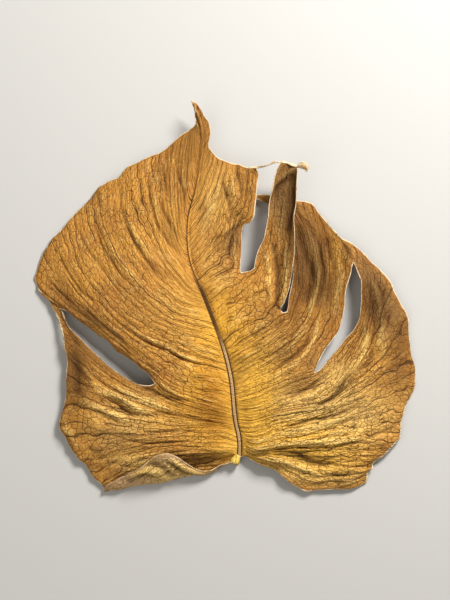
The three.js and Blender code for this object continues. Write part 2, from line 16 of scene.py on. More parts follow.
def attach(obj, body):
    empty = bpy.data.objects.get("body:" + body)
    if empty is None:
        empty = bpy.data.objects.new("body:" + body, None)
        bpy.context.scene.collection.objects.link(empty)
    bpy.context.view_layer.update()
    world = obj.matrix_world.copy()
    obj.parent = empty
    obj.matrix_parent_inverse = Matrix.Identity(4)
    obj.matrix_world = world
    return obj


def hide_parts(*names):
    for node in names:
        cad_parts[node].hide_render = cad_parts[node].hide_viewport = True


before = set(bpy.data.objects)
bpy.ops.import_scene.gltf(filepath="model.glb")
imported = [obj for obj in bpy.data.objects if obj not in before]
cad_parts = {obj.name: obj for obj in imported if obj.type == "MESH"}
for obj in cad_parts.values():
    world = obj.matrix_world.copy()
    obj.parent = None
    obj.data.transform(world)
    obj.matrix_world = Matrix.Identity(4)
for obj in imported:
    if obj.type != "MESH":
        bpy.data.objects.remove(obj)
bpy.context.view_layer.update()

bl_info = {
    "name": "Dried monstera leaf",
    "version": (1, 0, 0),
    "blender": (4, 5, 0),
    "location": "View3D > Sidebar > Leaf",
    "description": "Builds a dried, curled monstera leaf with its veins, slits and broken stub",
    "category": "Add Mesh",
}

MM = 0.001

# A vein runs from the midrib (0) to the margin (1). A slit opens at SPLIT and, where the margin
# closes it again, ends at RIM. It takes this much of the vein to open, and to close.
SPLIT = 0.4
RIM = 0.95
SLIT_OPENS_OVER = 0.1
SLIT_CLOSES_OVER = 0.07
LAST_ROW = 16

# The net has rows this far apart, in millimetres, and a set number of them in the folded flap. Its columns
# stand at set distances from the midrib, or nearer where a vein's root is so short that they would take
# more than a share of it. Then they stand evenly to SPLIT, closely past a slit's end, and evenly to RIM
# and to the margin. Where two halves or parts meet, points this close, in metres, become one.
ROW_SPACING = 0.82
FLAP_ROWS = 32
RIB_COLUMNS = (0, 0.35, 0.7, 1.1, 1.6, 2.2, 3.0, 4.0, 5.2)
RIB_COLUMNS_SHARE = 0.55
ROOT_COLUMNS = 13
SLIT_COLUMNS = (0.003, 0.008, 0.015)
SPLIT_ROUNDED = 0.424
OUTER_COLUMNS = 25
RIM_COLUMNS = 3
WELD = 2e-6

# Where the margin starts to pull the net towards it, how far out the distance across the veins is
# counted, and at how many rows of each gap, and of the whole leaf.
MARGIN_PULL_FROM = 0.3
SPREAD_AT = 0.7
SPREAD_ROWS = 25
FINE_ROWS = 3201

# Samples to each span of a curve, and the length below which a span counts as none.
VEIN_STEPS = 16
MIDRIB_STEPS = 32
FOLD_STEPS = 24
STRAND_STEPS = 5
MEMBRANE_STEPS = 8
NO_LENGTH = 1e-4

# The blade's unevenness: the size of each noise in millimetres, its stretch along the veins and its seed.
# Different seeds, and the two halves of the blade, read places that lie this far apart in the noise.
NOISES = {
    "vein_wander": (18, 2, 1),
    "vein_waver": (6, 1, 8),
    "crease_wander": (7, 1, 5),
    "crease": (3.2, 4.6, 2),
    "ridge": (6.5, 6.5, 7),
    "dent": (13, 1, 3),
    "ruffle": (7, 1, 4),
}
OCTAVES = 2
SEEDS_APART = 17.3
HALVES_APART = 40

# How far side veins and creases wander from their rows, in millimetres, and how much of the veins'
# wander is left beside the midrib.
VEIN_WANDER = 2.6
VEIN_WAVER = 1.5
CREASE_WANDER = 2.1
WANDER_BY_RIB = 0.35

# The arches between veins and the bulges between creases are lowered by about their mean. The smoothest
# skin still has some creases, and the blade's very edge some relief.
MEAN_ARCH = 0.64
MEAN_BULGE = 0.18
HIGHEST_BULGE = 0.5
LEAST_CREASED = 0.3
RELIEF_AT_EDGE = 0.15

# Distances from the midrib or from the edge, in millimetres, over which each grows to its full height.
WANDER_GROWS = (2, 25)
RELIEF_GROWS = (1, 9)
RELIEF_GROWS_INLAND = (0, 5)
FOLDS_GROW = (0.5, 4)
RUFFLE_GROWS = (0, 4)
RUFFLE_REACH = 4
# A fold is raised from below, so a steep part of the blade takes less of it, and an overturned one sinks.
# It ends at this many half widths, and is this share short of its full arc at its two ends.
FOLD_STEEPNESS = 3
FOLD_REACH = 3
FOLD_END = 0.03

# The midrib's grooves and its crest: height, distance from its middle and half width, in millimetres.
RIB_GROOVE = (0.5, 1.4, 0.5)
RIB_CREST = (0.35, 0, 0.6)
RIB_NARROWS_BY = 0.6

# The mesh of small veins: the size of the noise that bends it and how far it bends, in millimetres, how
# many of its cells fill one cell size along and across the veins, and how many of the finer mesh do.
WEB_BEND_SIZE = 3.3
WEB_BEND = (2.0, 1.6, 0)
WEB_CELLS = (0.62, 1.2)
FINE_WEB_CELLS = 1.6
# How far patches move the corky rim in and out, in millimetres.
RIM_UNEVENNESS = 0.9

# The strip of margin: how far its strands turn with each sample, in radians, how far they stand apart and
# how thick and how uneven they are, as shares of their radius, and how quickly that changes.
STRAND_TURN = 0.35
STRAND_APART = 0.8
STRAND_THICKNESS = 0.9
STRAND_UNEVENNESS = 0.4
STRAND_LUMPS = 0.9
HOOK_THINNER = 0.9
# The scrap of skin in its curl: its points along and across, its sag and its thickness in millimetres.
MEMBRANE_POINTS = (14, 6)
MEMBRANE_SAG = 0.8
MEMBRANE_SHEET = 0.25

# The stub: its sides and cuts, how wide it is at each end, as a share of its radius, between which shares
# of its length it widens, from where its end is ragged, and the size and height of that, in millimetres.
STUB_SIDES = 28
STUB_CUTS = 5
STUB_WIDTHS = (0.68, 1.02)
STUB_WIDENS = (0.1, 0.75)
STUB_RAGGED_FROM = 0.9
STUB_RAGGED_SIZE = 1.1
STUB_RAGGED_HEIGHT = 1.2

SMOOTH = {"interpolation_type": "SMOOTHSTEP"}
PIECES = ("blade", "leafstalk_stub", "margin_thread", "margin_hook", "margin_scrap")
FLOOR_COLOUR = "BBB8B2"

# How the two faces of the skin differ: most of its colour, its blotches and the stain beside the lower
# midrib, how strongly its brown spots show, painted shade among them, how pale its rim is, how strongly its
# lines and the painted shade of its valleys show, and -1 where what rises on the upper face sinks in. A line
# of the midrib has its colour, the distances from the middle to which it is full and at which it is gone, its
# strength, and the rows where it fades in and out.
Face = namedtuple("Face", "base blotches beside_rib browning rim lines upward midrib")
UPPER_FACE = Face(
    base="golden", blotches=("ochre", 0.42, 0.7, 0, 0.6), beside_rib=("yellow", 0.85), browning=0.8,
    rim=0.95, lines=1.0, upward=1,
    midrib=(
        # Along the lower midrib, a dark band that is partly its own colour and partly painted shade in its
        # grooves, with the pale crest over it.
        ("vein", 1.2, 1.9, 0.9, (-2, -1, 8, 8.9)),
        ("crest", 0.6, 0.95, 0.9, (-2, -1, 8, 8.9)),
        ("vein", 1.0, 1.5, 0.85, (7.6, 8.9, 10, 11)),
        ("vein", 0.3, 0.7, 0.85, (9.5, 10.5, 12, 16)),
    ),
)
LOWER_FACE = Face(
    base="underside", blotches=("golden", 0.35, 0.75, 0.1, 0.55), beside_rib=("grey", 0.2), browning=0.4,
    rim=0.4, lines=0.8, upward=-1,
    midrib=(
        ("web", 1.9, 2.7, 0.6, (-2, -1, 8, 13)),
        ("crest", 1.0, 1.8, 0.85, (-2, -1, 12, 16)),
    ),
)

Vein = namedtuple("Vein", "row root outer rim margin slit start", defaults=((), (), None, None))

MIDRIB = (
    (8.6, -96, 4.6), (8.7, -92.5, 4.5), (8.8, -88, 4.6), (8.1, -82, 4.8), (6.6, -75.5, 5.1),
    (5.7, -69, 5.3), (5.1, -62, 5.5), (3.7, -49, 5.8), (0, -33, 6), (-7.2, -13, 6.2),
    (-12.2, 0, 6.4), (-21.2, 22, 7.2), (-22.3, 46, 8.3), (-17.9, 63.4, 9.2), (-15.2, 80, 9.8),
    (-13.8, 98, 11.3), (-18.6, 114.6, 15),
)

LEFT_SLIT_ROOT = ((-10, -66.5, 8), (-26, -61.5, 9.5), (-36, -57, 9.8), (-42, -51.5, 9.8))
LEFT_SLIT_RIM = ((-103, -3.4, 3), (-106.5, -0.2, 2.2))
RIGHT_SLIT_ROOT = ((15, -60, 9), (27, -55.5, 11), (40, -50, 12), (53.1, -44.8, 12))
RIGHT_SLIT_RIM = ((74.2, 27, 7.4), (71.8, 31.7, 6.4), (69.7, 35, 5.6))
NARROW_SLIT_ROOT = ((9, -27, 9), (20, -20.5, 11), (29, -13.5, 12), (34.3, -9.2, 12))
BIG_SLIT_ROOT = ((-5, 6.5, 9), (3, 10.5, 10.5), (9.7, 14.6, 11))

# Each vein from base to tip: its row, its root up to SPLIT, its outer stretch, its rim past a closed
# slit, and the points of the margin between it and the next vein.
LEFT_VEINS = (
    # Free edge of the basal lobe, folded up and back over the blade.
    Vein(-1, start=(6, -98, 5.4), root=((2, -98.5, 5.6), (-5, -102.5, 5.6)),
         outer=((-14, -103.5, 6.5), (-22, -99.5, 9.5), (-29, -94, 13.5), (-34, -92, 15), (-40, -93.5, 14.5),
                (-46, -98, 12.5), (-54, -103.5, 10), (-62, -107.5, 8), (-72, -113.5, 4.8))),
    Vein(-0.75, start=(6.8, -97.6, 4.6), root=((2.2, -99, 4.6), (-5.5, -103.6, 4.4)),
         outer=((-12, -105, 4.6), (-21, -104, 7), (-30, -102.5, 9.5), (-36, -102, 11), (-43, -102.8, 10.5),
                (-50, -106, 8.5), (-58, -110, 6.5), (-66, -113.7, 5), (-72.2, -115.8, 3.9))),
    # The fold.
    Vein(-0.25, start=(7.6, -97, 3.8), root=((2, -99.2, 3.2), (-6, -104.4, 2.9)),
         outer=((-10, -105.3, 2.8), (-20, -107, 2.8), (-30, -109, 2.8), (-39, -110.9, 2.8), (-50, -112, 2.8),
                (-60, -114.2, 2.8), (-68, -116.2, 2.8), (-72.5, -117.2, 2.8))),
    Vein(0, root=((3, -96.3, 3), (-5, -101, 2)),
         outer=((-10, -102.4, 1.6), (-20, -104, 1.4), (-30, -106, 1.3), (-39, -108, 1.3), (-50, -109.4, 1.3),
                (-60, -111.6, 1.3), (-68, -113.8, 1.4), (-72.9, -115, 1.6))),
    Vein(1, root=((0, -91.8, 8), (-14, -92, 9.5)),
         outer=((-28, -92.5, 9.5), (-40, -95.5, 8.5), (-52, -99, 7), (-63, -104, 5), (-74, -112.3, 2.2)),
         margin=((-77.2, -109.6), (-80.5, -105.4), (-83.8, -100.4))),
    Vein(2, root=((-4, -85.5, 8.5), (-18, -85.5, 10.5)),
         outer=((-33, -86, 11.5), (-48, -87, 11), (-62, -89, 9.5), (-76, -94, 6.5), (-87.5, -97, 3.5)),
         margin=((-90.5, -93), (-93.8, -88), (-96.3, -83), (-98.7, -79))),
    Vein(3, root=((-5, -77.5, 8.5), (-20, -78.3, 11)),
         outer=((-36, -79, 12.5), (-52, -79.5, 12), (-68, -78, 11.5), (-84, -76.5, 9), (-99, -77, 4.5)),
         margin=((-99.2, -75), (-98, -70.4), (-96.3, -64.2), (-95.3, -58.8), (-95.1, -53.3), (-94.9, -46.7),
                 (-94.4, -40.4), (-94.8, -36.7))),
    Vein(4, root=((-8, -73.5, 8.5), (-22, -71.8, 10.5)),
         outer=((-36, -68.5, 11.5), (-52, -63, 11.5), (-67, -57.5, 11), (-79, -50.5, 10), (-88, -42, 8.5),
                (-94.8, -34.5, 6.5)),
         margin=((-96.2, -30.8), (-96.8, -25.8))),
    Vein(4.4, root=((-9, -70.3, 8.3), (-21, -67.6, 9.9), (-31, -64.4, 10.5)),
         outer=((-42, -60.5, 10.8), (-54, -56, 10.6), (-68, -48.5, 10), (-78, -41, 9.2), (-87, -32.5, 7.8),
                (-93.5, -26, 6.6), (-97.4, -22.5, 5.8)),
         margin=((-98, -20), (-99.3, -15.4), (-101, -11.2), (-103, -7.5), (-105, -3.3))),
    # Lower edge of the left slit.
    Vein(4.75, slit="closed", root=LEFT_SLIT_ROOT, rim=LEFT_SLIT_RIM,
         outer=((-44.7, -52.6, 9.6), (-50, -52.3, 9.4), (-55, -50.6, 9.2), (-62, -46.5, 9), (-70, -40.5, 8.6),
                (-78, -33, 8), (-86, -25, 7.2), (-92.5, -18.8, 6.4), (-96.5, -12, 5.4), (-98.4, -7.2, 4.4))),
    # Its upper edge, which curls down.
    Vein(4.75, slit="closed", root=LEFT_SLIT_ROOT, rim=LEFT_SLIT_RIM,
         outer=((-45.5, -46.3, 8.5), (-50.5, -42.9, 7.5), (-56, -38, 6.8), (-60, -34.8, 6.4),
                (-64, -32.3, 6.1), (-68, -28, 5.9), (-74, -24, 5.6), (-80.5, -19.2, 5.4), (-86, -14, 5.1),
                (-92, -9.8, 4.8), (-98.4, -7.2, 4.4)),
         margin=((-109.2, 2.7), (-112.2, 4.2), (-113, 6.3), (-114.8, 10.4), (-114.2, 12.5), (-113, 15.8))),
    Vein(5.75, root=((-10, -58, 8.5), (-24, -53.5, 10.5), (-36, -47.5, 11.5)),
         outer=((-52, -36, 11), (-62, -27, 10.5), (-72, -19, 10.5), (-83, -10, 9.5), (-93, -1, 7.5),
                (-101, 7, 5), (-107, 15, 3), (-111.5, 20.5, 1.4)),
         margin=((-109.2, 25.8), (-107.2, 29.2), (-105, 33), (-103.4, 35.4), (-100, 38.3))),
    Vein(7.25, root=((-10, -41.3, 8.5), (-21, -38.8, 10.5), (-33, -34, 11.5)),
         outer=((-45, -28.8, 12.5), (-56, -22, 12.5), (-66, -14, 12.5), (-76, -4, 12), (-84, 6, 11),
                (-91, 17, 9), (-95.5, 28, 6.5), (-98.8, 39.5, 3.6)),
         margin=((-97.2, 41.3), (-93, 46.3), (-89.7, 50.2), (-85, 54.6), (-83, 57))),
    Vein(8.5, root=((-15, -19, 9.5), (-27, -15.5, 12), (-38, -10, 13.5)),
         outer=((-48, -3, 14.5), (-57, 6, 14.5), (-65, 16, 13.5), (-72, 29, 11.5), (-77, 39, 8.5),
                (-80, 50, 5), (-81.5, 59, 1.8)),
         margin=((-80, 60.8), (-77.2, 64.2), (-74.7, 66.3), (-71.3, 68.2), (-68, 69.8))),
    Vein(9.5, root=((-19, -4, 9.5), (-28, 0, 12), (-38, 9, 13.5)),
         outer=((-44, 15, 14), (-49, 22, 14), (-54, 30, 13.5), (-58, 37, 13), (-63, 46, 11.5),
                (-63.5, 55, 10), (-63.5, 62, 8.5), (-64, 70.8, 6.5)),
         margin=((-62.6, 72.5), (-60.5, 75.4), (-58.8, 77.3), (-54.7, 79.3), (-49.7, 81.7))),
    Vein(10.25, root=((-21, 10, 9), (-26, 17.5, 10.5), (-31, 24, 11.5)),
         outer=((-34.7, 29, 12), (-40, 42.5, 12), (-43, 52, 12), (-45.5, 65, 11), (-46.5, 75, 9.5),
                (-46.5, 83.3, 7.5)),
         margin=((-44.7, 84.2), (-40, 85.7), (-37.6, 87.1), (-34.7, 89.2))),
    Vein(11, root=((-24.5, 24, 8.5), (-28, 30, 9.5), (-30, 36, 9.5)),
         outer=((-32, 44, 9.5), (-33.5, 52, 9.5), (-34.3, 60, 9.5), (-34.8, 68, 9.3), (-34.6, 76, 9),
                (-34, 83, 8.5), (-32.5, 91, 8)),
         margin=((-31.3, 92.1), (-28.8, 94.6), (-24.7, 97.5))),
    Vein(11.75, root=((-24.5, 44, 9), (-25.5, 50, 9.5), (-25.8, 56, 9.5)),
         outer=((-25.8, 64, 9.5), (-25.3, 72, 9.7), (-24.6, 80, 9.8), (-23.8, 87, 10), (-23, 93, 10.3),
                (-21.8, 99.2, 10.5)),
         margin=((-20.5, 100.2), (-18.8, 101.2))),
    Vein(14, root=((-16.2, 84.5, 10), (-17.3, 89.5, 10.4)),
         outer=((-17.8, 94.5, 10.8), (-17.9, 98.7, 11.2), (-17.6, 102.5, 11.7)),
         margin=((-17.4, 104.2), (-17.5, 105.8))),
    Vein(15, root=((-15, 99.9, 11.4), (-16.1, 101.9, 11.7)),
         outer=((-16.7, 103.8, 12), (-17.2, 105.6, 12.4), (-17.8, 107.5, 12.8))),
    Vein(15.5, root=((-16.6, 108.2, 13.1), (-17.3, 109.6, 13.4)),
         outer=((-17.9, 110.7, 13.6), (-18.5, 111.8, 13.8)),
         margin=((-18.8, 112.5),)),
    Vein(16, root=((-19.3, 115.4, 15),), outer=((-20.1, 116.5, 15),)),
)

RIGHT_VEINS = (
    Vein(0, root=((12, -95.3, 5), (16, -97.5, 5.5), (22, -100.3, 6)),
         outer=((30, -104.2, 6), (36, -108.9, 5.5), (42.5, -113.7, 4), (49, -116.4, 3), (57, -115.6, 3),
                (66, -115.4, 3), (75, -114.8, 2.4), (84.3, -112, 1.6)),
         margin=((85.2, -110.8), (85.7, -107.5), (86.3, -105))),
    Vein(1, root=((16, -94.5, 6.5), (24, -94.7, 8.5), (32, -96.5, 9)),
         outer=((42, -100, 7.5), (52, -103, 7), (62, -104.5, 7.5), (72, -105.5, 8), (80, -105.5, 6),
                (87.3, -103.6, 3.4)),
         margin=((88.9, -102.1), (88.6, -100.8), (90.4, -98.3), (93.3, -96.3), (95.8, -94.2),
                 (99.2, -90.8))),
    Vein(2, root=((18, -91.5, 8), (30, -90.5, 10.5), (42, -89.5, 11.5)),
         outer=((55, -88.3, 11.5), (68, -86.8, 12), (80, -85.5, 11), (92, -86.5, 7.5), (102.6, -87.4, 3.4)),
         margin=((104.8, -84.6), (105, -80.8), (105.4, -76.7), (105.8, -73.3), (106.7, -69.2),
                 (107.9, -65.4), (110, -62.1), (112.1, -58.8), (113.5, -55.4))),
    Vein(3, root=((18, -83, 9), (30, -78.5, 11), (42, -76, 12)),
         outer=((56, -73, 12), (70, -68.5, 12), (82, -63.5, 11), (93, -58.5, 8.5), (103, -54.5, 5),
                (114, -52, 1.4)),
         margin=((114.6, -45), (114, -40.8), (112.5, -37.5), (111.6, -34.2))),
    Vein(4, root=((17, -75.5, 9), (29, -72, 11.5), (42, -69, 12.5)),
         outer=((55, -66, 12.5), (66, -61, 12.5), (76, -55, 12), (86, -48, 11), (95, -41, 9),
                (103, -34.5, 6), (111, -29, 2.4)),
         margin=((110.4, -23.5), (110.2, -18.1), (109.8, -14.2), (108.5, -10), (105.4, -4.6), (103.1, 0))),
    Vein(5, root=((17, -70, 9), (29, -66.5, 11), (42, -64, 12)),
         outer=((56, -61.5, 12), (66, -55.5, 12), (73, -47, 12), (79, -38, 12), (85, -28, 11), (90, -17, 10),
                (95, -6, 8), (98.5, 1, 6), (101.2, 4.2, 5)),
         margin=((99.2, 8.5), (96.9, 11.5), (94.2, 15), (90, 18.8), (85.8, 22.7), (82.3, 26.2),
                 (79.2, 29.2), (74.6, 32.3))),
    # Right edge of the right slit.
    Vein(6, slit="closed", root=RIGHT_SLIT_ROOT, rim=RIGHT_SLIT_RIM,
         outer=((56.9, -42.6, 12), (60, -38.8, 12), (63.8, -34.2, 12.2), (68.5, -28.8, 12.4),
                (71.5, -24.5, 12.6), (75.4, -20.4, 12.8), (77.9, -16.3, 13), (79.7, -12.2, 13.2),
                (80.6, -5.8, 13.4), (80.9, 0.4, 13.4), (80.6, 6.5, 13), (79.5, 12, 12), (78, 16.7, 10.6),
                (76.3, 20.3, 9))),
    # Its left edge.
    Vein(6, slit="closed", root=RIGHT_SLIT_ROOT, rim=RIGHT_SLIT_RIM,
         outer=((54.6, -40.4, 11.6), (57, -35.6, 11), (59.8, -30.6, 10.4), (63.2, -26.4, 9.8),
                (66.3, -22.6, 9.4), (68.2, -19.4, 9), (69.2, -15.5, 8.8), (70.5, -10, 8.5), (71.4, -4, 8.3),
                (71.5, 0.5, 8.2), (72.3, 5, 8.2), (73.8, 10.3, 8.4), (75, 14.2, 8.6), (75.5, 17.3, 8.8),
                (76.3, 20.3, 9)),
         margin=((66.9, 37.3), (65, 40), (62.3, 42.7), (60.4, 45.8), (57.3, 49.2), (55.4, 51.9))),
    Vein(7, root=((14, -42, 9), (26, -35, 11), (37, -28, 12)),
         outer=((46, -21.5, 12), (52, -13, 11.5), (55, -4, 10.5), (57, 6, 9), (58, 17, 7.5), (57.5, 28, 6),
                (56.5, 39, 4), (54.5, 50, 2.4), (53.2, 54.9, 1.6)),
         margin=((51.9, 55.8), (49.2, 56.9), (46.2, 57.5), (42, 57.8), (34, 60), (27, 61.3), (18, 61.5))),
    # Right edge of the narrow slit, whose far end passes under the finger.
    Vein(8, slit="open", root=NARROW_SLIT_ROOT,
         outer=((36.6, -8.6, 11.8), (37.3, -5.5, 11.6), (38, 0, 11), (39.3, 5.5, 10.2), (40.3, 11, 9.4),
                (40.6, 16, 8.6), (40.3, 22, 7.6), (39.5, 32, 6.2), (37, 42, 5.2), (32.5, 50, 4.6),
                (26.4, 55.4, 4.4), (22.9, 57, 4.4), (18.6, 58.7, 4.4), (12, 60.5, 4.4))),
    # Right edge of the finger.
    Vein(8, slit="open", root=NARROW_SLIT_ROOT,
         outer=((33, -7.5, 12.2), (33.6, -5.2, 12.4), (35.4, -3.4, 12.6), (36.6, 0.6, 13), (37.9, 4.3, 13.4),
                (38.9, 9.7, 14), (39.7, 14.3, 14.5), (40.2, 19, 15), (40.9, 23, 15.4), (41.2, 27.3, 15.8),
                (40.9, 31.5, 16.2), (40.6, 40, 17), (40.8, 49.5, 18), (41.5, 56, 18.8), (42.2, 64, 19.8),
                (42.9, 70, 20.4), (43.2, 75.5, 20.8)),
         margin=((42.2, 77.6),)),
    # The finger's hollow middle.
    Vein(9, root=((1, -4.5, 9), (11, 2, 11), (19, 8, 12)),
         outer=((25, 16, 11.5), (28.5, 25, 11.8), (31, 35, 12.6), (32.8, 45, 13.6), (33.8, 55, 14.8),
                (34.8, 65, 16.2), (36.5, 73, 18), (38, 78.6, 19.8)),
         margin=((36.4, 79.1),)),
    # Left edge of the finger.
    Vein(10, slit="open", root=BIG_SLIT_ROOT,
         outer=((13, 15.2, 11.4), (16.8, 16.5, 12), (17.6, 20, 12.6), (18, 22.5, 13), (19.3, 27, 13.8),
                (21.4, 31.5, 14.6), (23.3, 37, 15.6), (24.6, 43.5, 16.8), (25.6, 50, 18), (26.3, 55.5, 19),
                (27.1, 59, 19.6), (27.6, 63, 20.4), (28.6, 68.5, 21.2), (30, 73, 21.8), (31.4, 76, 22.2),
                (33, 79.5, 22.2))),
    # Left edge of the big slit, torn into a notch half way up.
    Vein(10, slit="open", root=BIG_SLIT_ROOT,
         outer=((9.2, 17.5, 10.6), (9.5, 22, 9.8), (10, 28, 9), (9.9, 34.3, 8.6), (10.2, 39.5, 8.8),
                (10.8, 42, 9.4), (12.9, 43.4, 10.6), (15, 43.9, 11.6), (16.4, 45.7, 12.2), (17.5, 48, 12.6),
                (17.9, 53, 13), (18.4, 57, 13.2), (18.8, 62, 13.2), (19.4, 68.5, 12.8), (19.9, 73, 12.4),
                (19.1, 75.8, 12), (18.6, 77.8, 11.6)),
         margin=((13.6, 77.1), (10.7, 77.9), (9.3, 78.8))),
    Vein(11, root=((-15, 29, 8.5), (-9.5, 36, 9), (-5, 43, 9.5)),
         outer=((-2, 50, 10.5), (0.5, 57, 11), (2.5, 64, 11.5), (4, 70, 11.2), (5.2, 75, 10.6),
                (5.9, 79.2, 10)),
         margin=((2.9, 79.9), (-0.7, 81.3), (-3.6, 82.5))),
    Vein(12, root=((-17, 53, 9), (-13.5, 60, 9.5), (-11, 67, 9.7)),
         outer=((-9.5, 72, 9.7), (-8.2, 75.5, 9.7), (-7, 78.5, 9.7), (-6.2, 81.5, 9.6), (-5.7, 84.3, 9.5)),
         margin=((-7.7, 86.5), (-9.5, 89.3), (-9.5, 91.4))),
    Vein(14, root=((-14.2, 84, 9.9), (-13.4, 87, 10)),
         outer=((-12, 89.8, 10), (-10.4, 92.2, 10.1), (-8.9, 94.3, 10.3)),
         margin=((-8.4, 97.9), (-8.9, 101.4), (-10, 104.6))),
    Vein(15, root=((-13, 100.8, 11.3), (-12.3, 103, 11.4)),
         outer=((-11.8, 104.3, 11.6), (-11.4, 105.2, 11.8), (-11, 105.9, 12)),
         margin=((-12.1, 107.1), (-13.6, 110), (-15.4, 112.9), (-17.5, 115.2))),
    Vein(16, root=((-18.8, 115.4, 15),), outer=((-19.1, 116.2, 15),)),
)

# The strip of margin that still spans the big slit, and its torn end, curled up past the finger.
THREAD = (
    (17.6, 76.4, 12.3), (21, 76.9, 15), (25, 77.6, 18.6), (29.3, 79.2, 21.4), (33, 79.2, 22),
    (36.4, 78.9, 20.6), (39.3, 77.7, 20.4), (42.2, 76.6, 20.8),
)
HOOK = (
    (42.2, 76.4, 20.8), (44.3, 78.6, 22.4), (46.4, 78.9, 23.4), (48.2, 77.1, 23.8), (48.6, 75.4, 23.6),
    (47.9, 73.9, 23), (46.8, 74.4, 22.6),
)
SCRAP_EDGE = ((42.2, 76.4, 20.8), (44.2, 75.6, 21.4), (46.2, 74.9, 22), (47.6, 74.5, 22.6))
STUB_TOP = (8, -94.3, 3.8)
STUB_END = (5.4, -99.4, 3.3)

